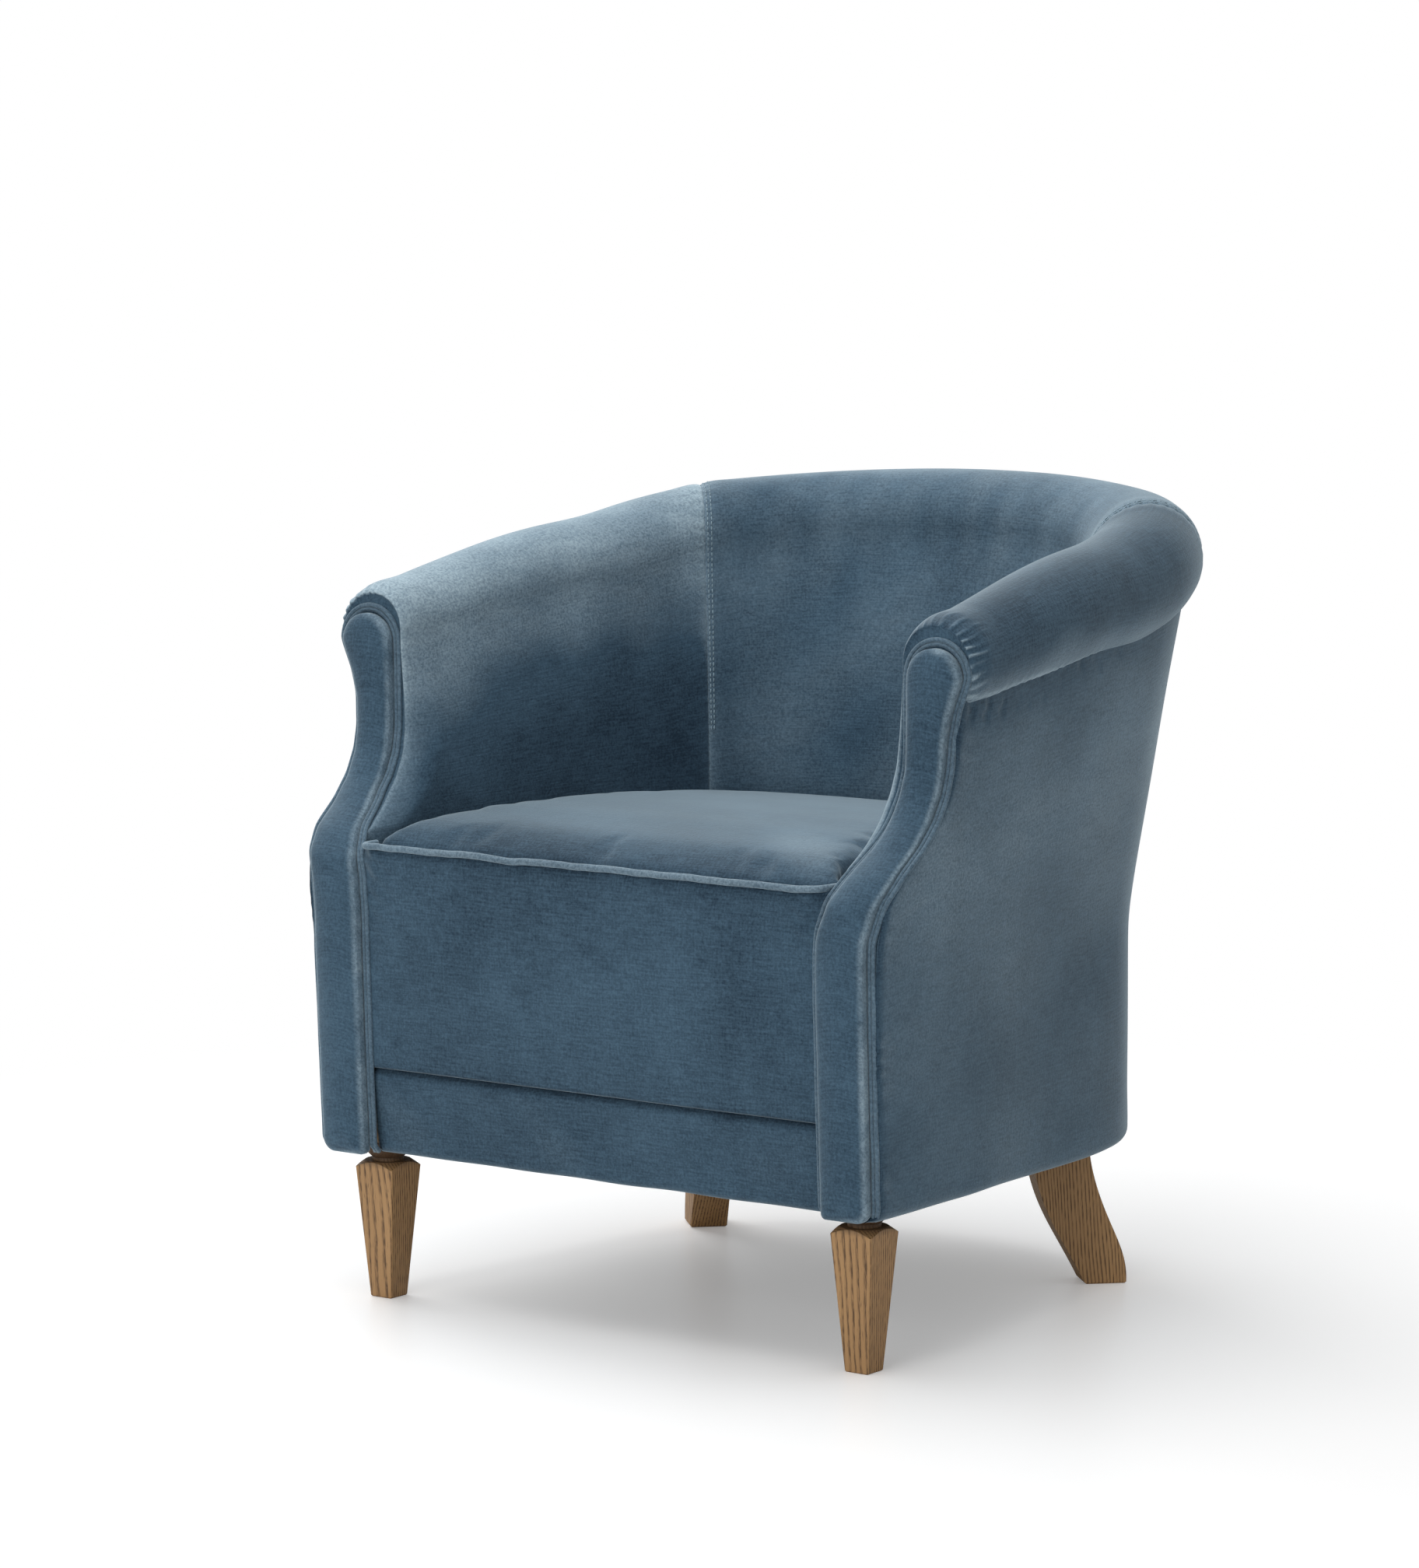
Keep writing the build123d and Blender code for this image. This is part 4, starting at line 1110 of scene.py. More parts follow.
@dataclass
class InsideCovers(Maker):
    """Inside covers of both arms and the back, with their gathers, tucks and seams.

    The light fields, and each arm's level, roll, front and low fields, paint light and shade
    into the velvet's colour.
    """

    rows: int = 236
    arm_columns: int = 205
    arm_crowding: float = 0.72
    back_rows: int = 160
    back_columns: int = 300
    back_crowding: float = 0.7
    last_v: float = 2.1
    facing_gap: float = 7.0
    gather_length: float = 8.5
    gather_wander: Waves = Waves(2.4, 42.0, 0)
    gather_sharpness: float = 2.6
    gather_height: float = 2.6
    gather_reach: float = 15.0
    gather_light: float = 1.3
    tuck_length: float = 15.0
    tuck_wander: Waves = Waves(2.2, 130.0, 5)
    tuck_height: float = 0.6
    tuck_reach: float = 8.0
    tuck_row: int = -30
    seam_depth: float = 2.0
    seam_width: float = 3.5
    seam_light: float = 0.6
    swelling: Hill = Hill(0.7, 16.0, 12.0)
    pucker: Hill = Hill(0.35, 5.0, 9.0)
    pucker_length: float = 13.0
    pucker_wander: Waves = Waves(2.5, 60.0, 3)
    edge_depth: float = 1.6
    edge_width: float = 2.5
    edge_light: float = 0.3
    edge_light_ends: float = 1.1
    hem_light: Hill = Hill(0.5, 9.0, 4.0)
    calm: float = 30.0
    arm_waves: Waves = Waves(0.8, 150.0, 2)
    arm_seeds: tuple[int, int] = (11, 23)
    arm_patches: Waves = Waves(0.12, 75.0, 15)
    # Painted light and shade of each arm, by place on the face and the roll:
    right_level: float = 0.20
    right_roll: Hill = Hill(-0.95, 1.40, 0.36)
    left_roll: float = 0.98
    left_roll_starts: Pair = (0.45, 0.75)
    left_roll_ends: Pair = (1.30, 0.35)
    left_front: float = 0.22
    left_low: Hill = Hill(-0.55, 0.35, 0.38)
    back_waves: Waves = Waves(1.0, 170.0, 41)
    back_patches: Waves = Waves(0.08, 110.0, 43)
    back_drag: Waves = Waves(0.06, 26.0, 44)
    back_light: float = 0.10
    back_seam_light: float = 0.3
    stitch_rows: Pair = (3.5, 8.5)
    stitch_pitch: float = 5.2
    stitch_length: float = 4.0
    stitch_radius: float = 0.6
    stitch_lift: float = 0.15
    stitch_ends: Pair = (0.36, 1.98)

    def sheet(self, v: Array, start: Array, end: Array, places: Array) -> tuple[Array, Array]:
        """Grid of a cover between two edges.

        Args:
            v: Places up the inner face and over the roll, one a row.
            start: Distance along the crest of the first edge, at each v.
            end: Distance along the crest of the last edge, at each v.
            places: Shares of the way between them, one a column.

        Returns:
            The points, and v at each of them.
        """
        s = between(start, end, places)
        vs = np.broadcast_to(v[:, None], s.shape)
        return self.shell.inside(s, vs), vs

    def heights(self, rows: int) -> Array:
        """Values of v up the covers, closer together over the roll."""
        face = np.linspace(0, 1, rows // 3, endpoint=False)
        return np.concatenate([face, np.linspace(1, self.last_v, rows - len(face))])

    def tucks(self, points: Array) -> Array:
        """Puckers above the seam under the roll: a wave along the chair whose length
        wanders, and which fades away from the seam."""
        along = run_along(points, 1)[self.tuck_row][None]
        up = np.clip(run_along(points, 0, backwards=True) - 8, 0, None)
        wave = np.cos(2 * np.pi * along / self.tuck_length + self.tuck_wander.over(points))
        uneven = np.clip(ripples(points, 60.0, 8), 0, 1)
        return self.tuck_height * uneven * wave * fade(up, self.tuck_reach)

    def gathers(self, points: Array, ahead: Array, head: Array, seed: int) -> tuple[Array, Array]:
        """Folds that run back from the piping of an arm's head: narrow crests along the arc of
        the head, each of its own height and length, faint on the inner side, short on top and
        strong under the outside.

        Args:
            points: The cover's points.
            ahead: Distance of each point from the piping.
            head: 0 where the roll starts inside, 1 where it ends outside.
            seed: Seed of the unevenness.

        Returns:
            Height of the folds, and how much painted highlight their crests get.
        """
        round_head = run_along(points, 0)[:, :1]
        wander = self.gather_wander.over(points, seed)
        phase = 2 * np.pi * round_head / self.gather_length + wander
        crest = (0.5 + 0.5 * np.cos(phase)) ** self.gather_sharpness
        strength = (0.10 + 0.90 * step(head, 0.16, 0.42)) * step(head, -0.05, 0.15)
        uneven = 0.65 + 0.35 * ripples(points, 17.0, seed + 1)
        reach = self.gather_reach * (0.35 + 0.65 * strength)
        reach = reach * (1 + 0.4 * ripples(points, 22.0, seed + 2))
        caught = strength * uneven * np.exp(-((ahead / reach) ** 1.3))
        return self.gather_height * caught * (crest - 0.3), caught * crest

    def painted_arm_light(self, points: Array, ahead: Array, vs: Array, side: Side) -> Array:
        """Painted light and shade on an arm. The left arm's is lighter over its upper face, its roll
        and its front, and darker lower down; the right arm's is a little lighter on its face and
        darker over the roll.

        Args:
            points: The cover's points.
            ahead: Distance of each point from the piping.
            vs: 0 to 1 up the inner face, 1 to 2 over the roll.
            side: Which arm.

        Returns:
            Painted light above zero and painted shade below it, with random patches.
        """
        patches = self.arm_patches.over(points)
        if side is Side.RIGHT:
            return self.right_level + self.right_roll.at(vs) + patches
        roll = self.left_roll * step(vs, *self.left_roll_starts) * (0.6 + 0.4 * fade(ahead, 200))
        roll = roll * (1 - 0.85 * step(vs, *self.left_roll_ends))
        front = self.left_front * fade(ahead, 60)
        low = self.left_low.at(vs) * (1 - fade(ahead, 110))
        return roll + front + low + patches

    def valley(self, distance: Array | float) -> Array | float:
        """Narrow dip at the sewn seam, with a soft swelling beside it."""
        return self.swelling.at(distance) - self.seam_depth * fade(distance, self.seam_width)

    def seam(self, distance: Array, points: Array) -> Array:
        """Relief beside a seam: its valley, and small puckers across it."""
        phase = 2 * np.pi * run_along(points, 0) / self.pucker_length
        puckers = np.cos(phase + self.pucker_wander.over(points))
        return self.valley(distance) + puckers * self.pucker.at(distance)

    def arm(self, side: Side) -> Piece:
        """Inside cover of an arm: the shell's inside between the facing and the seam.

        Args:
            side: Which arm.

        Returns:
            The piece.
        """
        v = self.heights(self.rows)
        start = self.shell.front_edge(v, self.facing_gap)
        places = crowded(self.arm_columns, self.arm_crowding)
        points, vs = self.sheet(v, start, self.shell.seam(v), places)
        ahead = run_along(points, 1)
        behind = ahead[:, -1:] - ahead
        below = run_along(points, 0, backwards=True)
        seed = self.arm_seeds[side is Side.LEFT]
        folds, caught = self.gathers(points, ahead, vs - 1, seed)
        waves = self.arm_waves.over(points, seed) * (1 - fade(ahead, self.calm))
        relief = folds - self.edge_depth * fade(ahead, self.edge_width)
        relief += self.tucks(points) + self.seam(behind, points)
        relief += waves * (1 - fade(behind, self.calm))
        # Painted light and shade: highlights on the gathers' crests, beside the seam, along the roll's
        # lower edge and along the facing, and the arm's own painted light and shade.
        light = self.gather_light * caught + self.seam_light * fade(behind, 6)
        light += self.hem_light.at(below)
        light += self.edge_light * fade(ahead, 5) * (vs < self.edge_light_ends)
        light += self.painted_arm_light(points, ahead, vs, side)
        points = points + relief[..., None] * normals_of(points)
        flange = self.shell.facing.flange(points[:, 0])[:, ::-1]
        points = np.concatenate([flange, points], axis=1)
        painted_light_and_nap = np.concatenate([np.zeros(flange.shape[:2]), light], axis=1)
        piece = self.shop.grid(f"arm_velvet_{side.word}", points, side, painted_light_and_nap=painted_light_and_nap)
        thicken(piece)
        return self.finishes.dress(piece, "velvet", f"inside_arm_cover_{side.word}",
                                   f"arm_padding_{side.word}")

    def back(self) -> Piece:
        """Inside cover of the back, from the right seam to the left one."""
        v = self.heights(self.back_rows)
        start = self.shell.seam(v)
        places = crowded(self.back_columns, self.back_crowding)
        points, vs = self.sheet(v, start, 2 * self.shell.plan.length - start, places)
        right = run_along(points, 1)
        aside = np.minimum(right, right[:, -1:] - right)
        relief = self.tucks(points) + self.seam(aside, points)
        relief += self.back_waves.over(points) * (1 - fade(aside, self.calm))
        points = points + relief[..., None] * normals_of(points)
        # Painted light: a lighter base and highlights beside the seams, with random patches and drag
        # lines.
        painted_light_and_nap = self.back_light + self.back_seam_light * fade(aside, 5)
        painted_light_and_nap += self.back_patches.over(points)
        drag = self.back_drag.over(points * np.array([1.0, 1.0, 0.12])) * step(vs, 0.6, 0.4)
        piece = self.shop.grid("back_velvet", points, painted_light_and_nap=painted_light_and_nap + drag)
        thicken(piece)
        return self.finishes.dress(piece, "velvet", "inside_back_cover", "back_padding")

    def stitches(self, side: Side) -> Piece:
        """Two rows of topstitching beside a seam, on the back's cover.

        Args:
            side: Which seam.

        Returns:
            The piece.
        """
        v = np.linspace(*self.stitch_ends, 900)
        seam = self.shell.seam(v)
        rows = []
        for offset in self.stitch_rows:
            line = self.shell.inside(seam + offset, v)
            level = self.shell.inside(seam + offset + 1, v)
            outwards = np.cross(np.gradient(line, axis=0), level - line)
            outwards /= np.linalg.norm(outwards, axis=1, keepdims=True)
            lift = self.valley(offset) + self.stitch_lift
            rows.append(self.spindles(line + lift * outwards, outwards))
        piece = self.shop.loose_rings(f"seam_stitches_{side.word}", np.concatenate(rows), side)
        piece.data.materials.append(self.finishes.thread)
        return piece

    def spindles(self, line: Array, outwards: Array) -> Array:
        """Stitches along a line, each a spindle whose radius is the root of a half sine.

        Args:
            line: Points along the row of stitches.
            outwards: Unit vectors away from the cloth, one a point.

        Returns:
            Rings of points: stitch, ring, corner and axis.
        """
        walked = np.concatenate([[0], np.cumsum(np.linalg.norm(np.diff(line, axis=0), axis=1))])
        starts = np.arange(2.0, walked[-1] - self.stitch_length, self.stitch_pitch)
        places = starts[:, None] + np.linspace(0, self.stitch_length, 6)[None]
        at, up = (np.stack([np.interp(places, walked, values[:, k]) for k in range(3)], -1)
                  for values in (line, outwards))
        ahead = at[:, -1:] - at[:, :1]
        ahead = np.broadcast_to(ahead / np.linalg.norm(ahead, axis=-1, keepdims=True), at.shape)
        sideways = np.cross(ahead, up)
        radius = np.sqrt(np.sin(np.pi * np.linspace(0.04, 0.96, 6)))[None, :, None, None]
        turn = np.linspace(0, 2 * np.pi, 6, endpoint=False)[None, None, :, None]
        ring = np.cos(turn) * up[:, :, None] + np.sin(turn) * sideways[:, :, None]
        return at[:, :, None] + self.stitch_radius * radius * ring


@dataclass
class OutsideCover(Maker):
    """Outside cover in one sweep from arm to arm, pulled up under the roll and under the hem."""

    rows: int = 100
    columns: int = 470
    crowding: float = 0.6
    facing_gap: float = 7.0
    close: float = 2.0
    close_height: Pair = (640.0, -60.0)
    close_length: float = 70.0
    into_roll: float = 3.0
    under: float = 18.0
    low_behind: float = 4.0
    low_starts: Pair = (150.0, 200.0)
    dimple_waves: Waves = Waves(1.0, 22.0, 5)
    dimple_front: Pair = (360.0, -220.0)
    dimple: Hill = Hill(-1.6, 14.0, 11.0)
    dimple_light: float = 0.25
    slow: Waves = Waves(0.7, 190.0, 31)
    hem_waves: Waves = Waves(0.35, 60.0, 32)
    hem_band: Hill = Hill(1.0, 150.0, 26.0)
    gather_length: float = 17.0
    gather_wander: Waves = Waves(2.4, 60.0, 33)
    gather_reach: float = 11.0
    gather_height: float = 0.8
    gather_light: float = 0.5
    edge_depth: float = 2.4
    edge_width: float = 3.0
    # Painted light and shade: a lighter base, and painted shade along the edges, under the roll and
    # lower down.
    light: float = 0.26
    edge_shade: float = 1.3
    roll_shade: float = 0.45
    roll_shade_width: float = 45.0
    low_shade: float = 0.16
    low_shade_starts: Pair = (130.0, 220.0)
    patches: Waves = Waves(0.08, 150.0, 36)

    def top(self, s: Array) -> Array:
        """Height where the cover runs into the underside of the roll's circle."""
        centre = self.shell.crest(s) - self.shell.roll(s)
        radius = self.shell.roll_radius(s)
        z = centre - radius * 0.75
        for _ in range(4):
            n = self.shell.outer_n(s, z)
            z = centre - np.sqrt(np.clip(radius**2 - n**2, 25, None))
        return z + self.into_roll

    def taper(self, s: Array, z: Array) -> Array:
        """How far the cover is drawn in beside the facings, growing down to the hem."""
        facing = self.shell.facing
        q = self.shell.plan.fold(s)
        close = self.close * step(z, *self.close_height) * fade(q, self.close_length)
        return facing.foot_taper * facing.foot_share(z) * np.clip(1 - q / 300, 0, 1) + close

    def front_edge(self, share: Array) -> Array:
        """Distance along the crest of the cover's front edge, for each share of its height."""

        def missing(s: Array) -> Array:
            """How far the cover's point lies in front of the facing's rear."""
            z = self.level(s, share)
            _, y = self.shell.plan.at(s, self.shell.outer_n(s, z))
            return self.shell.facing.front(z) + self.facing_gap - y

        return settled(np.full(np.shape(share), 10.0), missing, 14)

    def level(self, s: Array, share: Array) -> Array:
        """Height at a share from the top down to the start of the hem's rounding."""
        top = self.top(s)
        return top + (self.shell.hem + self.shell.hem_round - top) * np.clip(share, 0, 1)

    def dimples(self, points: Array, down: Array, s: Array) -> Array:
        """Small hollows under the roll where the cover is pulled up: the upper parts of short
        waves, kept in a band below the seam and mostly on the front half."""
        waves = self.dimple_waves.over(points * np.array([1.0, 1.0, 1.3]))
        front = 0.15 + 0.85 * step(self.shell.plan.fold(s), *self.dimple_front)
        return np.clip(waves - 0.1, 0, 1) * front * self.dimple.at(down)

    def sweep(self) -> tuple[Array, Array, Array]:
        """Smooth form of the cover, before any unevenness.

        Returns:
            The points, their distance along the crest, and their shares: 0 to 1 run down the
            outside, 1 to 2 round the hem and 2 to 3 flat under it.
        """
        side = np.linspace(0, 1, self.rows - 13) ** 1.5
        share = np.concatenate([side, np.linspace(1, 2, 10)[1:], np.linspace(2, 3, 5)[1:]])
        start = self.front_edge(share)
        end = 2 * self.shell.plan.length - start
        s = between(start, end, crowded(self.columns, self.crowding))
        shares = np.broadcast_to(share[:, None], s.shape)
        z = self.level(s, shares)
        n = self.shell.outer_n(s, z) - self.taper(s, z)
        turn = np.clip(shares - 1, 0, 1) * np.pi / 2
        rounding = self.shell.hem_round
        n = n - rounding * (1 - np.cos(turn)) - self.under * np.clip(shares - 2, 0, 1)
        lower = self.low_behind * step(self.shell.plan.fold(s), *self.low_starts)
        z = z - rounding * np.sin(turn) - lower * np.clip(shares, 0, 1) ** 3
        return np.stack([*self.shell.plan.at(s, n), z], -1), s, shares

    def build(self) -> Piece:
        """Makes the piece."""
        points, s, shares = self.sweep()
        z = points[..., 2]
        down = run_along(points, 0)
        along = run_along(points, 1)
        ahead = np.minimum(along, along[:, -1:] - along)
        edge = fade(ahead, self.edge_width)
        dimples = self.dimples(points, down, s)
        phase = 2 * np.pi * z / self.gather_length + self.gather_wander.over(points)
        uneven = np.clip(0.3 + ripples(points, 50.0, 34), 0, 1)
        drawn = (0.5 + 0.5 * np.cos(phase)) * uneven * fade(ahead, self.gather_reach)
        relief = dimples + self.slow.over(points) * (1 - fade(ahead, 40))
        relief += self.gather_height * drawn - self.edge_depth * edge
        relief += self.hem_waves.over(points) * self.hem_band.at(z) * (1 - fade(ahead, 20))
        relief *= shares <= 2
        # Painted light and shade: a lighter base and highlights on the gathers' crests, shade along the
        # facing edges, under the roll, lower down and in the dimples, and random patches.
        light = self.light + self.gather_light * drawn - self.edge_shade * edge
        light -= self.roll_shade * fade(down, self.roll_shade_width)
        light -= self.low_shade * step(down, *self.low_shade_starts)
        light += self.patches.over(points) + self.dimple_light * dimples
        points = points + relief[..., None] * normals_of(points)
        first = self.shell.facing.flange(points[:, 0])[:, ::-1]
        last = self.shell.facing.flange(points[:, -1])
        points = np.concatenate([first, points, last], axis=1)
        turned_in = np.zeros(first.shape[:2])
        painted_light_and_nap = np.concatenate([turned_in, light, turned_in], axis=1)
        piece = self.shop.grid("outside_velvet", points, painted_light_and_nap=painted_light_and_nap)
        thicken(piece)
        return self.finishes.dress(piece, "velvet", "outside_cover", "outside_wadding")


# ---- Arm facings ----


@dataclass
class ArmFacing(Maker):
    """Padded facing at the front of an arm, with the double piping round it."""

    side: Side
    levels: int = 150
    head_steps: int = 40
    foot_steps: int = 14
    face_steps: int = 12
    edge_steps: int = 8
    crown: float = 6.0
    edge: float = 2.6
    shoulder: float = 0.70
    forward: float = 2.5
    side_depths: tuple[float, ...] = (5.6, 8.8, 9.0, 9.0)
    side_reach: tuple[float, ...] = (1.0, 0.97, 0.8, 0.0)
    seeds: tuple[int, int] = (51, 57)
    slow: Waves = Waves(0.7, 90.0, 0)
    fine: Waves = Waves(0.25, 22.0, 1)
    cords: Pair = (3.4, 7.4)
    cord_depth: float = 7.8
    cord_lift: float = 1.5
    cord_turn: Pair = (9.0, 10.0)
    cord_waves: tuple[Waves, Waves] = (Waves(0.2, 40.0, 61), Waves(0.3, 60.0, 62))
    cord_light: float = 0.2

    def outline(self, grow: float, closed: bool) -> Array:
        """Outline of the pad seen from the front, grown all round.

        Args:
            grow: How far it is grown.
            closed: Closes it along the foot.

        Returns:
            The x and z of points up the inner edge, over the round head and down the outer.
        """
        facing = self.shell.facing
        x, z, r = facing.head
        low = facing.foot_round * (1 - np.cos(np.linspace(0, np.pi / 2, 10)))[:-1]
        straight = np.linspace(facing.foot_round, z - facing.foot, self.levels)
        heights = facing.foot + np.concatenate([low, straight])
        inner_x = facing.inner_x(heights) + facing.foot_curve(heights, facing.foot_round_inside)
        inner = np.stack([inner_x - grow, heights], 1)
        turn = np.linspace(np.pi, 0, self.head_steps + 2)[1:-1]
        head = arc(x, z, r + grow, turn)
        outer = np.stack([facing.outer_x(heights) + grow, heights], 1)[::-1]
        parts = [inner, head, outer]
        if closed:
            share = np.linspace(0, 1, self.foot_steps + 2)[1:-1, None]
            parts.append(outer[-1:] * (1 - share) + inner[:1] * share)
        return np.concatenate(parts)

    def form(self, outline: Array, spine: Array) -> tuple[Array, Array]:
        """Smooth form of the pad: rings from its spine to its outline and back behind.

        The face is a crown of crown * (1 - r ** 2), its edge a quarter of an ellipse, its side
        straight back and its rear flat on the board.

        Args:
            outline: Points of the outline.
            spine: Points of the middle line opposite them.

        Returns:
            The points, and the reach of each ring: 0 on the spine and 1 on the outline.
        """
        face = np.linspace(0, self.shoulder, self.face_steps)
        turn = np.linspace(0, np.pi / 2, self.edge_steps + 1)[1:]
        edge = self.shoulder + (1 - self.shoulder) * np.sin(turn)
        front = np.concatenate([face, edge])
        round_off = np.concatenate([np.zeros(len(face)), self.edge * (1 - np.cos(turn))])
        front_depth = round_off - (self.forward + self.crown * (1 - front**2))
        reach = np.concatenate([front, self.side_reach])
        depth = np.concatenate([front_depth, self.side_depths])
        plan = spine[None] + (outline - spine)[None] * reach[:, None, None]
        y = self.shell.facing.front(plan[..., 1]) + depth[:, None]
        return np.stack([plan[..., 0], y, plan[..., 1]], -1), reach

    def pad(self) -> Piece:
        """The pad, with soft waves and a painted highlight along its edge on the side towards the
        light.
        """
        outline = self.outline(self.shell.facing.puff, True)
        spine = self.shell.facing.middle(outline[:, 1])
        points, reach = self.form(outline, spine)
        seed = self.seeds[self.side is Side.LEFT]
        edge = reach[:, None] ** 4
        waves = self.slow.over(points, seed) * (1 - edge) + self.fine.over(points, seed) * edge
        points[..., 1] += waves
        uv = np.stack([points[..., 0], points[..., 1] + points[..., 2]], -1) * MM
        # Painted highlight along the pad's edge, strongest on the edge that faces the chair's right and
        # broken into flecks.
        lean = 0.18 + 0.82 * step(self.side.value * (outline - spine)[:, 0], -8, 16)
        highlight_flecks = 0.75 + 0.3 * ripples(points, 60.0, seed + 2) + 0.2 * ripples(points, 14.0, seed + 3)
        light = 0.62 * step(edge, 0.35, 0.5) * highlight_flecks * lean
        piece = self.shop.grid(f"facing_velvet_{self.side.word}", points, self.side, uv, wrap=True,
                               flip=True, painted_light_and_nap=light)
        merge_close(piece, 0.02)
        return self.finishes.dress(piece, "velvet", f"facing_pad_{self.side.word}")

    def piping(self) -> Piece:
        """Two cords side by side round the pad, from foot to foot."""
        facing = self.shell.facing
        turn_height, turn_depth = self.cord_turn
        blocks = []
        for grow in self.cords:
            x, z = self.outline(grow, False).T
            under = turn_depth * ramp(z, facing.foot + turn_height, -turn_height) ** 2
            path = np.stack([x, facing.front(z) + self.cord_depth + under, z + self.cord_lift], 1)
            for axis, waves in enumerate(self.cord_waves):
                path[:, axis] += waves.over(path)
            blocks.append(tube(path, facing.cord / 2, (0.0, 1.0, 0.0)))
        name = f"facing_piping_velvet_{self.side.word}"
        piece = self.shop.loose_rings(name, np.stack(blocks), self.side)
        cloth_map(piece)
        # Painted highlight on the cords.
        set_painted_light_and_nap(piece.data, self.cord_light)
        return self.finishes.dress(piece, "velvet", f"facing_piping_{self.side.word}")


# ---- Seat and front ----


@dataclass
class Seat(Maker):
    """Tight seat between the arms, its piped front edge and the front border below it.

    The crown table has a place from front to back, and the seat's height in its middle and
    at its edge there.
    """

    crown: tuple[tuple[float, float, float], ...] = (
        (-80, 427, 426), (0, 453, 451), (80, 461, 458), (160, 463, 459), (240, 461, 457),
        (320, 456, 452), (400, 448, 445), (480, 438, 437), (560, 434, 434))
    crown_spread: float = 60.0
    front: float = -45.5
    front_bow: float = 1.5
    corner: float = 13.0
    span: float = 280.0
    gap: float = 1.2
    base: float = 358.0
    centre: Pair = (0.0, 230.0)
    edge: float = 10.0
    shrink: float = 6.0
    pressure: float = 4.0
    cap: float = 9.0
    voxel: float = 6.0
    sunk: float = 7.5
    # Painted light on the seat's top: a darker base, and how much lighter its right side is.
    light: Pair = (-0.30, 0.20)
    patches: Waves = Waves(0.16, 120.0, 91)
    welt: float = 6.4
    welt_x: float = 258.0
    welt_y: float = -52.0
    welt_z: float = 431.0
    welt_back: float = 24.0
    welt_light: float = 0.4
    welt_waves: tuple[Waves, ...] = (Waves(0.9, 70.0, 71), Waves(0.35, 26.0, 72), Waves(0.6, 60.0, 73))
    fold: float = 224.0
    fold_lip: float = 3.2
    border_top: float = 431.0
    border_crown: float = 3.4
    border_slant: tuple[float, float, float] = (-44.2, 8.0, 226.0)
    border_inset: float = 4.0
    border_bend: Pair = (5.0, 4.0)
    border_light: float = -0.06
    border_shade: float = 0.9
    border_waves: Waves = Waves(0.9, 120.0, 81)
    border_patches: Waves = Waves(0.03, 150.0, 83)
    corner_pull: float = 0.8
    corner_folds: Hill = Hill(1.0, 0.93, 0.10)
    pull_length: float = 17.0
    allowance: tuple[float, ...] = (4.0, 8.0, 13.0, 18.0)
    allowance_fall: float = 0.08
    rail_round: float = 9.0
    rail_y: tuple[float, float, float] = (-8.0, -22.0, -31.5)
    rail_slant: float = 11.3
    rail_above: float = 8.0
    rail_waves: Waves = Waves(0.8, 110.0, 85)
    rail_hem_waves: Waves = Waves(0.6, 90.0, 86)
    rail_hem_band: float = 14.0
    rail_patches: Waves = Waves(0.05, 110.0, 87)
    rail_light: float = -0.02
    groove: Pair = (6.5, 5.5)
    groove_shade: Pair = (0.95, 6.0)

    def outline(self, inset: float) -> Array:
        """Closed outline of the seat seen from above, drawn in by an inset."""
        s = np.linspace(self.front + self.corner, self.shell.plan.length, 150)
        n = self.shell.inner_n(s, np.full_like(s, self.shell.seat_level)) - self.gap - inset
        side = np.stack(self.shell.plan.at(s, n), 1)
        half, front = side[0, 0], self.front + inset
        turn = np.linspace(-np.pi / 2, 0, 14)
        bend = arc(half - self.corner, front + self.corner, self.corner, turn)
        across = np.linspace(0, half - self.corner, 50)[:-1]
        lip = np.stack([across, front - self.front_bow * (1 - (across / half) ** 2)], 1)
        return mirrored(np.concatenate([lip, bend, side[1:]]), closed=True)

    def top(self, x: Array, y: Array) -> Array:
        """Height of the seat's top: a parabola across, whose middle and edge follow the crown
        table from front to back."""
        places, *heights = np.array(self.crown).T
        middle, edge = (soft_interp(y, list(zip(places, row)), self.crown_spread) for row in heights)
        return edge + (middle - edge) * (1 - np.clip(np.abs(x) / self.span, 0, 1) ** 2)

    def body(self) -> Piece:
        """The seat: rays from its middle to its outline, over a rounded edge and down, drawn
        in by an inset and blown up again by the cloth simulation.

        Returns:
            The piece.
        """
        outline = self.outline(self.shrink)
        centre = np.array(self.centre)
        reach = ease(np.linspace(0, 1, 60)) ** 0.9
        flat = centre + (outline - centre)[None] * reach[:, None, None]
        rest = (1 - reach)[:, None] * np.linalg.norm(outline - centre, axis=1)[None]
        share = np.clip(1 - rest / self.edge, 0, 1)
        rounding = self.edge * (1 - np.sqrt(1 - share**2))
        z = self.top(flat[..., 0], flat[..., 1]) - self.sunk - rounding
        rim = np.concatenate([flat, z[..., None]], -1)
        foot = at_height(outline, self.base)[None]
        side = rim[-1:] + (foot - rim[-1:]) * np.linspace(0, 1, 16)[1:, None, None]
        inwards = np.array([*self.centre, self.base]) - foot
        under = foot + inwards * np.linspace(0, 1, 30)[1:, None, None]
        points = np.concatenate([rim, side, under])
        no_map = np.zeros(points.shape[:2] + (2,))
        piece = self.shop.grid("seat_velvet", points, wrap=True, uv=no_map)
        merge_close(piece, 0.05)
        swell(piece, self.voxel, self.pressure, self.cap)
        cloth_map(piece)
        where = coordinates(piece.data) / MM
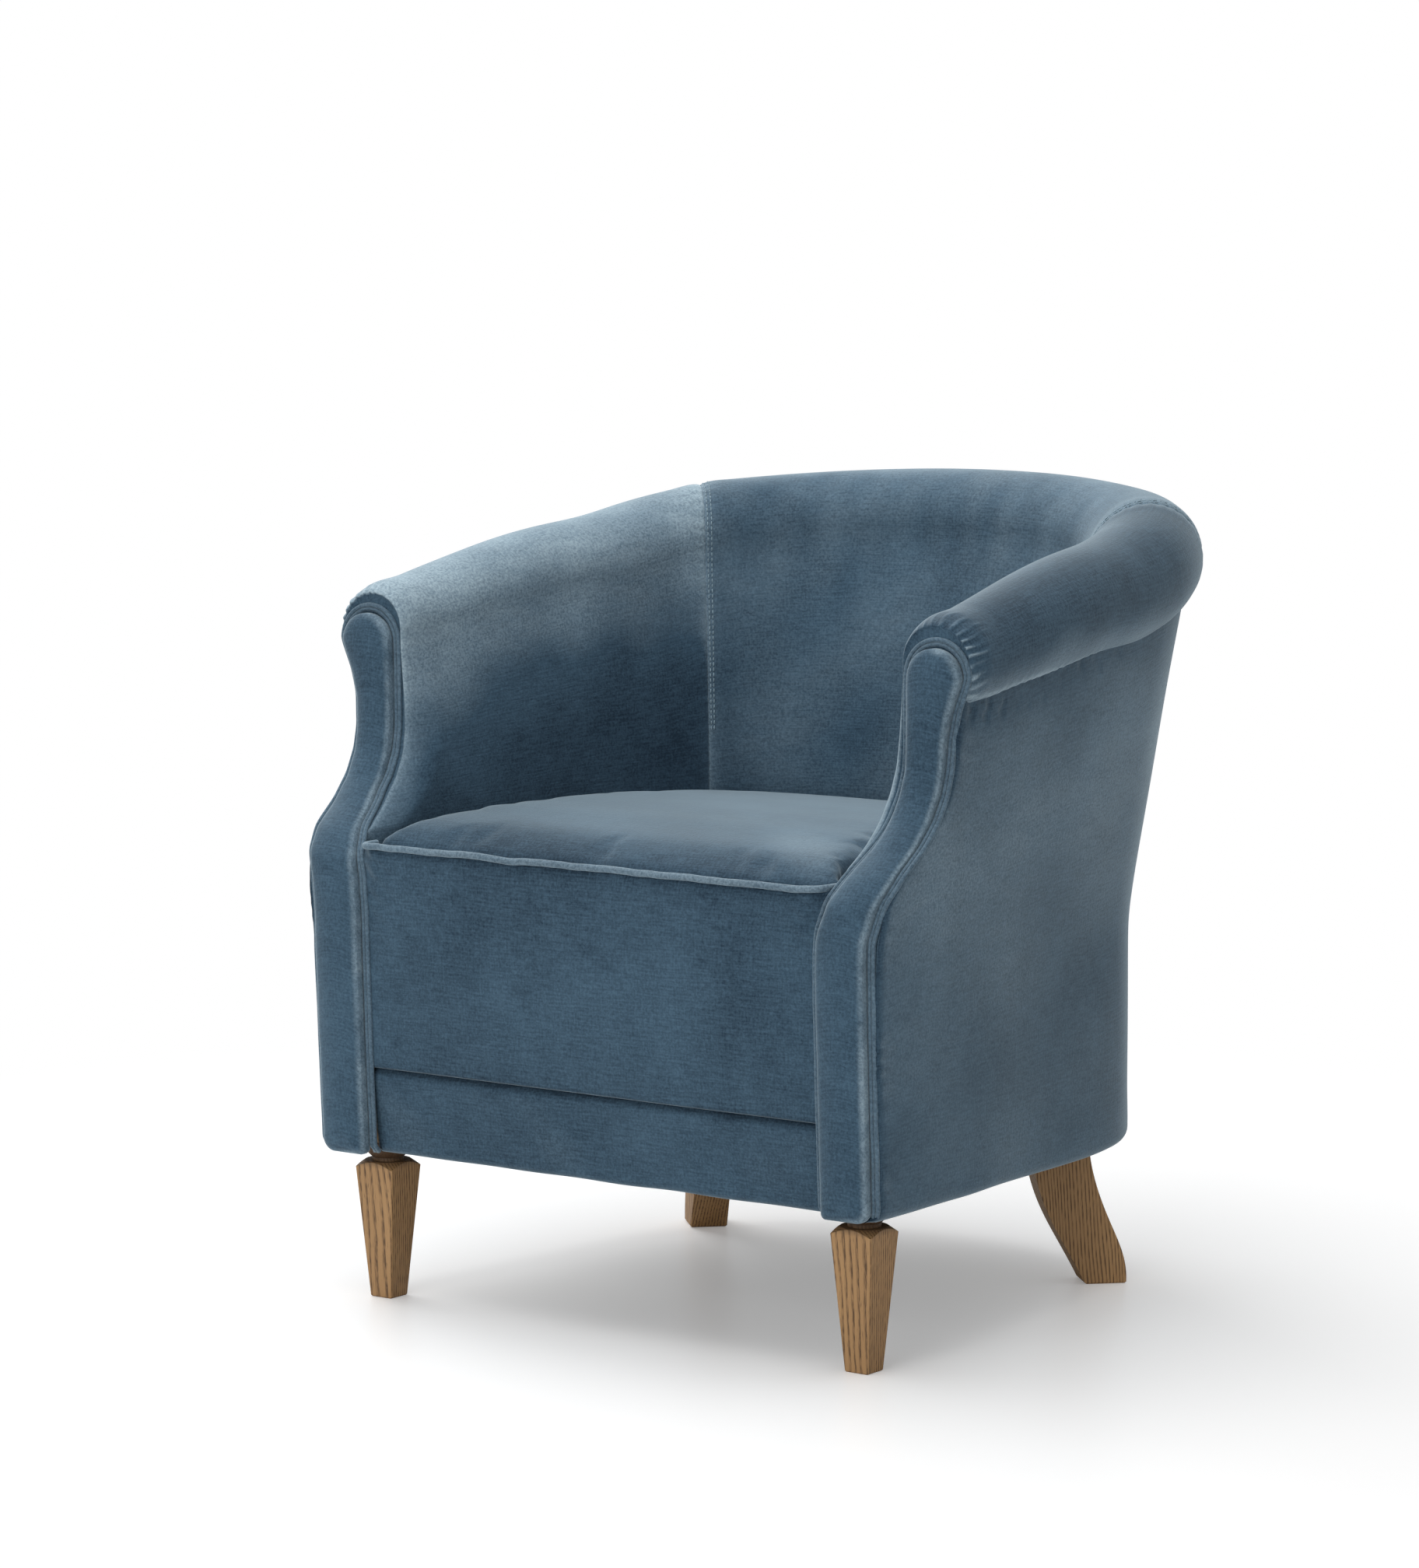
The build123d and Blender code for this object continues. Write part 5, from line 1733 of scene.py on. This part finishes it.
        # Painted light and shade on the seat: darker over all and lighter towards its right side, with
        # random patches.
        light, gain = self.light
        set_painted_light_and_nap(piece.data, light + gain * step(where[:, 0], 0, 230) + self.patches.over(where))
        return self.finishes.dress(piece, "velvet", "seat_cover", "seat_wadding", "seat_foam")

    def piped_edge(self) -> Piece:
        """Welt along the front and round the corners, waving a little where the cloth pulls."""
        x, y, bend = self.welt_x, self.welt_y, self.corner
        back = np.linspace(self.welt_back, bend, 12)[:-1]
        corner = arc(x - bend, y + bend, bend, np.linspace(0, -np.pi / 2, 24))
        run = np.linspace(x - bend, 0, 140)[1:]
        side = np.stack([np.full_like(back, x), y + back], 1)
        front = np.stack([run, np.full_like(run, y)], 1)
        path = at_height(mirrored(np.concatenate([side, corner, front])), self.welt_z)
        long, short, sideways = self.welt_waves
        path[:, 2] += long.over(path) + short.over(path)
        path[:, 1] += sideways.over(path)
        rings = tube(path, self.welt / 2, (0.0, 0.0, 1.0), 16)[None]
        piece = self.shop.loose_rings("seat_welt_velvet", rings)
        cloth_map(piece)
        # Painted highlight on the welt.
        set_painted_light_and_nap(piece.data, self.welt_light)
        return self.finishes.dress(piece, "velvet", "seat_welt")

    def border_form(self) -> tuple[Array, Array]:
        """Smooth form of the border: leaning forwards upwards, crowned, its foot rounded under,
        its top bent back to the welt and its sides drawn back behind the facings.

        Returns:
            The points, and how free each one is: 1 on the panel and 0 at its sides.
        """
        turn = np.linspace(0, np.pi / 2, 8)
        above = self.fold + self.fold_lip
        panel = above + (self.border_top - above) * np.linspace(0, 1, 120)[1:]
        heights = np.concatenate([self.fold + self.fold_lip * (1 - np.cos(turn)), panel])
        across, z = np.meshgrid(np.linspace(-1, 1, 260), heights)
        share = ramp(z, self.fold, self.border_top - self.fold)
        crown = self.border_crown * (1 - across**6) * np.sin(np.pi * share) ** 0.6
        rounded = np.concatenate([self.fold_lip * (1 - np.sin(turn)), np.zeros(len(panel))])
        bend, width = self.border_bend
        front, slant, low = self.border_slant
        y = front - slant * (z - low) / (self.border_top - low) - crown
        y = y + rounded[:, None] + bend * fade(self.border_top - z, width)
        half = self.shell.facing.inner_x(z) - self.border_inset
        free = step((1 - np.abs(across)) * half, 0, 22)
        behind = self.shell.facing.front(z) + 9
        y = np.where(behind > y, y * free + behind * (1 - free), y)
        return np.stack([across * half, y, z], -1), free

    def border(self) -> Piece:
        """Front border: a crowned panel whose foot is folded under, over the rail's cover, and
        whose top is turned back under the seat behind the welt."""
        points, free = self.border_form()
        z = points[..., 2]
        share = ramp(z, self.fold, self.border_top - self.fold)
        points[..., 1] += self.border_waves.over(points) * free
        across = np.linspace(-1, 1, points.shape[1])
        corners = self.corner_folds.at(np.abs(across))
        folds = np.cos(2 * np.pi * (z + 0.6 * points[..., 0]) / self.pull_length)
        points[..., 1] += self.corner_pull * corners * folds * share**3
        # Painted shade: a slightly darker base, and dark bands under the welt and in the fold at the
        # foot.
        painted_light_and_nap = self.border_light + self.border_patches.over(points)
        dark = fade(self.border_top - z, 6) + fade(z - self.fold, 2.5)
        painted_light_and_nap = painted_light_and_nap - self.border_shade * dark
        inwards = np.array(self.allowance)[:, None]
        turned_back = np.repeat(points[-1:], len(inwards), axis=0)
        turned_back[..., 1] += inwards
        turned_back[..., 2] -= self.allowance_fall * inwards
        points = np.concatenate([points, turned_back])
        # The turned-back allowance gets the full painted shade.
        painted_light_and_nap = np.concatenate([painted_light_and_nap, np.full(turned_back.shape[:2], -self.border_shade)])
        piece = self.shop.grid("front_border_velvet", points, flip=True, painted_light_and_nap=painted_light_and_nap)
        thicken(piece)
        return self.finishes.dress(piece, "velvet", "front_border_cover", "front_border_padding")

    def rail(self) -> Piece:
        """Cover of the base rail, up behind the fold and rounded under the hem."""
        hem, bend = self.shell.hem, self.rail_round
        behind, under_end, front = self.rail_y
        under = np.stack([np.linspace(behind, under_end, 8), np.full(8, hem)], 1)
        rounding = arc(front + bend, hem + bend, -bend, np.linspace(np.pi / 2, 0, 10))
        up = np.linspace(0, 1, 70)[1:]
        rise = self.fold + self.rail_above - hem - bend
        face = np.stack([front - self.rail_slant * up, hem + bend + rise * up], 1)
        profile = np.concatenate([under, rounding, face])
        points = np.zeros((len(profile), 240, 3))
        half = self.shell.facing.inner_x(np.array(hem)) - self.border_inset
        points[..., 0] = np.linspace(-half, half, points.shape[1])
        points[..., 1:] = profile[:, None]
        under_fold = np.clip(self.fold + 1 - points[..., 2], 0, None)
        depth, width = self.groove
        points[..., 1] += self.rail_waves.over(points)
        points[..., 1] += depth * hill(under_fold, width)
        band = hill(points[..., 2] - hem, self.rail_hem_band)
        points[..., 2] += self.rail_hem_waves.over(points) * band
        # Painted shade in the groove under the border's fold, on a slightly darker base.
        dark, width = self.groove_shade
        painted_light_and_nap = self.rail_light + self.rail_patches.over(points) - dark * hill(under_fold, width)
        piece = self.shop.grid("front_rail_velvet", points, flip=True, painted_light_and_nap=painted_light_and_nap)
        thicken(piece)
        return self.finishes.dress(piece, "velvet", "front_rail_cover")


def swell(piece: Piece, voxel: float, pressure: float, cap: float) -> None:
    """Remeshes a closed pad, blows it up as cloth, and keeps each point near its start.

    Args:
        piece: The pad, a closed mesh.
        voxel: Size of the remesh in millimetres.
        pressure: Pressure inside the cloth.
        cap: Furthest that a point may move, in millimetres.
    """
    remesh = piece.modifiers.new("remesh", "REMESH")
    remesh.mode = "VOXEL"
    remesh.voxel_size = voxel * MM
    apply_modifiers(piece)
    start = coordinates(piece.data)
    cloth = piece.modifiers.new("cloth", "CLOTH")
    cloth.settings.use_pressure = True
    cloth.settings.uniform_pressure_force = pressure
    cloth.settings.effector_weights.gravity = 0.0
    cloth.settings.quality = 5
    cloth.settings.mass = 0.3
    cloth.point_cache.frame_start = 1
    cloth.point_cache.frame_end = 20
    scene = bpy.context.scene
    for frame_number in range(1, cloth.point_cache.frame_end + 1):
        scene.frame_set(frame_number)
    apply_modifiers(piece)
    scene.frame_set(1)
    moved = coordinates(piece.data) - start
    length = np.linalg.norm(moved, axis=1, keepdims=True)
    move_points(piece.data, start + moved * np.minimum(1, cap * MM / np.maximum(length, 1e-9)))
    rounding = piece.modifiers.new("rounding", "SUBSURF")
    rounding.levels = 1
    rounding.render_levels = 1
    apply_modifiers(piece)
    piece.data.shade_smooth()
    LOG.info("%s swelled by %.1f mm at most", piece.name, float(length.max()) / MM)


# ---- Sheets under the chair ----


@dataclass
class Sheets(Maker):
    """Flat cloths stretched over the frame: the lining below and the hessian on the springs."""

    lining_z: float = 149.0
    lining_front: float = -6.0
    lining_inset: float = 12.0
    lining_cloth: float = 0.8
    leg_x: float = 270.0
    leg_hole: float = 23.0
    rear_hole: Pair = (60.0, 37.5)
    rear_leg: Pair = (201.2, 421.2)
    hessian_z: float = 351.6
    hessian_cloth: float = 0.9

    def flat(self, name: str, loops: Sequence[Array], z: float, thickness: float) -> Piece:
        """Thin plate over an outline with holes.

        Args:
            name: Name of the piece.
            loops: The outline and then the holes, seen from above, in millimetres.
            z: Height of the plate's middle.
            thickness: Thickness of the cloth.

        Returns:
            The new object, linked to the scene.
        """
        curve = bpy.data.curves.new(name, "CURVE")
        curve.dimensions = "2D"
        curve.fill_mode = "BOTH"
        curve.extrude = thickness / 2 * MM
        for loop in loops:
            spline = curve.splines.new("POLY")
            spline.points.add(len(loop) - 1)
            placed = self.shop.place(at_height(loop, 0.0))
            spline.points.foreach_set("co", np.pad(placed, ((0, 0), (0, 1)), constant_values=1).ravel())
            spline.use_cyclic_u = True
        drawn = bpy.data.objects.new(name + "_curve", curve)
        bpy.context.scene.collection.objects.link(drawn)
        seen = drawn.evaluated_get(bpy.context.evaluated_depsgraph_get())
        mesh = bpy.data.meshes.new_from_object(seen)
        bpy.data.objects.remove(drawn)
        move_points(mesh, coordinates(mesh) + np.array([0.0, 0.0, z * MM]))
        piece = self.shop.add(name, mesh)
        merge_close(piece, 0.01)
        piece.data.shade_flat()
        return piece

    def lining_loops(self) -> list[Array]:
        """Outline of the lining, and the holes that its legs stand through."""
        s = np.linspace(8, self.shell.plan.length, 60)
        low = self.shell.outer_n(s, np.full_like(s, 180.0)) - self.lining_inset
        side = np.stack(self.shell.plan.at(s, low), 1)
        turn = np.linspace(0, 2 * np.pi, 40, endpoint=False)
        long, wide = self.rear_hole
        corners = np.array([[-long, -wide], [long, -wide], [long, wide], [-long, wide]]) / 2
        rear = corners @ (np.array([[1, 1], [-1, 1]]) / math.sqrt(2)) + np.array(self.rear_leg)
        front = np.array([[side[0, 0], self.lining_front]])
        loops = [mirrored(np.concatenate([front, side]))]
        for sign in (1.0, -1.0):
            loops.append(arc(sign * self.leg_x, 0.0, self.leg_hole, turn))
            loops.append(rear * np.array([sign, 1.0]))
        return loops

    def lining(self) -> Piece:
        """Black cloth under the frame, cut round the legs."""
        loops = self.lining_loops()
        piece = self.flat("dust_lining", loops, self.lining_z, self.lining_cloth)
        return self.finishes.dress(piece, "black_cloth", "dust_cover")

    def hessian(self, outline: Array) -> Piece:
        """Hessian that carries the seat on its springs."""
        piece = self.flat("spring_hessian", [outline], self.hessian_z, self.hessian_cloth)
        return self.finishes.dress(piece, "webbing", "seat_hessian")


# ---- Studio ----


@dataclass
class Studio:
    """White floor, soft lights and the camera that took the photograph."""

    shift_y: float
    camera_place: tuple[float, float, float] = (2.866, -3.789, 1.0465)
    tilt: float = 6.55
    azimuth: float = 36.11
    lens: float = 122.25
    sensor: float = 36.0
    clip_end: float = 200.0
    world: float = 0.42
    floor_size: float = 30.0
    floor_colour: float = 0.86
    floor_lift: float = 0.22
    floor_fade: Pair = (0.6, 1.5)
    aim: tuple[float, float, float] = (0.0, 0.0, 0.4)

    def floor(self) -> None:
        """Wide floor that fades into plain white away from the chair."""
        material, n = bare("white_floor")
        place = n.object_place()
        away = n.add("ShaderNodeVectorMath", {0: place}, operation="LENGTH").outputs["Value"]
        near, far = self.floor_fade
        fading = n.add("ShaderNodeMapRange", {"Value": away, "From Min": near, "From Max": far},
                       interpolation_type="SMOOTHSTEP").outputs["Result"]
        seen = n.add("ShaderNodeLightPath").outputs["Is Camera Ray"]
        shader = n.add("ShaderNodeBsdfPrincipled", {
            "Base Color": (self.floor_colour,) * 3 + (1,),
            "Roughness": 0.35,
            "Specular IOR Level": 0.25,
            "Emission Color": (1, 1, 1, 1),
            "Emission Strength": n.math("MULTIPLY", seen, self.floor_lift),
        }).outputs[0]
        glow = n.add("ShaderNodeEmission", {"Color": (1, 1, 1, 1), "Strength": 1.0}).outputs[0]
        share = n.math("MULTIPLY", fading, seen)
        mixed = n.add("ShaderNodeMixShader", {0: share, 1: shader, 2: glow}).outputs[0]
        n.add("ShaderNodeOutputMaterial", {"Surface": mixed})
        mesh = bpy.data.meshes.new("floor")
        corners = [(x * self.floor_size, y * self.floor_size, 0)
                   for x, y in ((-1, -1), (1, -1), (1, 1), (-1, 1))]
        mesh.from_pydata(corners, [], [(0, 1, 2, 3)])
        mesh.materials.append(material)
        plane = bpy.data.objects.new("floor", mesh)
        bpy.context.scene.collection.objects.link(plane)

    def surroundings(self) -> None:
        """World that is plain white to the camera and softer as a light."""
        world = bpy.data.worlds.new("studio")
        world.use_nodes = True
        world.node_tree.nodes.clear()
        n = Nodes(world.node_tree)
        seen = n.add("ShaderNodeLightPath").outputs["Is Camera Ray"]
        strength = n.add("ShaderNodeMapRange", {"Value": seen, "To Min": self.world, "To Max": 1.0})
        values = {"Color": (1, 1, 1, 1), "Strength": strength.outputs[0]}
        back = n.add("ShaderNodeBackground", values)
        n.add("ShaderNodeOutputWorld", {"Surface": back.outputs[0]})
        bpy.context.scene.world = world

    def lamp(self, name: str, place: tuple[float, float, float], watts: float, size: float) -> None:
        """Square soft light that faces the chair.

        Args:
            name: Name of the light.
            place: Where it hangs, in metres.
            watts: Its power.
            size: Its side in metres.
        """
        light = bpy.data.lights.new(name, "AREA")
        light.energy = watts
        light.size = size
        lamp = bpy.data.objects.new(name, light)
        lamp.location = place
        lamp.rotation_euler = (Vector(self.aim) - Vector(place)).to_track_quat("-Z", "Y").to_euler()
        bpy.context.scene.collection.objects.link(lamp)

    def camera(self) -> None:
        """Camera found by matching the chair's symmetric points in the photograph."""
        data = bpy.data.cameras.new("camera")
        data.lens = self.lens
        data.sensor_width = self.sensor
        data.clip_end = self.clip_end
        eye = bpy.data.objects.new("camera", data)
        x, y, z = self.camera_place
        eye.location = (x, y + self.shift_y * MM, z)
        eye.rotation_euler = (math.radians(90 - self.tilt), 0, math.radians(self.azimuth))
        bpy.context.scene.collection.objects.link(eye)
        bpy.context.scene.camera = eye

    def build(self) -> None:
        """Sets up the whole studio."""
        self.floor()
        self.surroundings()
        self.lamp("key", (-2.7, 0.9, 2.7), 58, 2.4)
        self.lamp("fill", (0.6, -3.9, 1.4), 44, 2.4)
        self.lamp("top", (-0.2, -0.3, 3.2), 66, 2.8)
        self.camera()
        bpy.context.scene.view_settings.view_transform = "Standard"


# ---- The chair ----


def main() -> None:
    """Builds the chair's soft pieces, dresses the frame, and sets up the studio."""
    logging.basicConfig(level=logging.INFO, format="%(name)s: %(message)s")
    leg_low, leg_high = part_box("front_leg_right")
    shift_y = (leg_low.y + leg_high.y) / 2 / MM
    shop = Workshop(shift_y)
    shell = Shell()
    finishes = Finishes()
    finishes.build()
    finishes.dress_frame()
    covers = InsideCovers(shell, shop, finishes)
    for side in Side:
        covers.arm(side)
        covers.stitches(side)
        facing = ArmFacing(shell, shop, finishes, side)
        facing.pad()
        facing.piping()
    covers.back()
    OutsideCover(shell, shop, finishes).build()
    seat = Seat(shell, shop, finishes)
    seat.body()
    seat.piped_edge()
    seat.border()
    seat.rail()
    sheets = Sheets(shell, shop, finishes)
    sheets.lining()
    sheets.hessian(seat.outline(3.0))
    Studio(shift_y).build()
    LOG.info("%d pieces", len(shop.pieces))


if __name__ == "__main__":
    main()
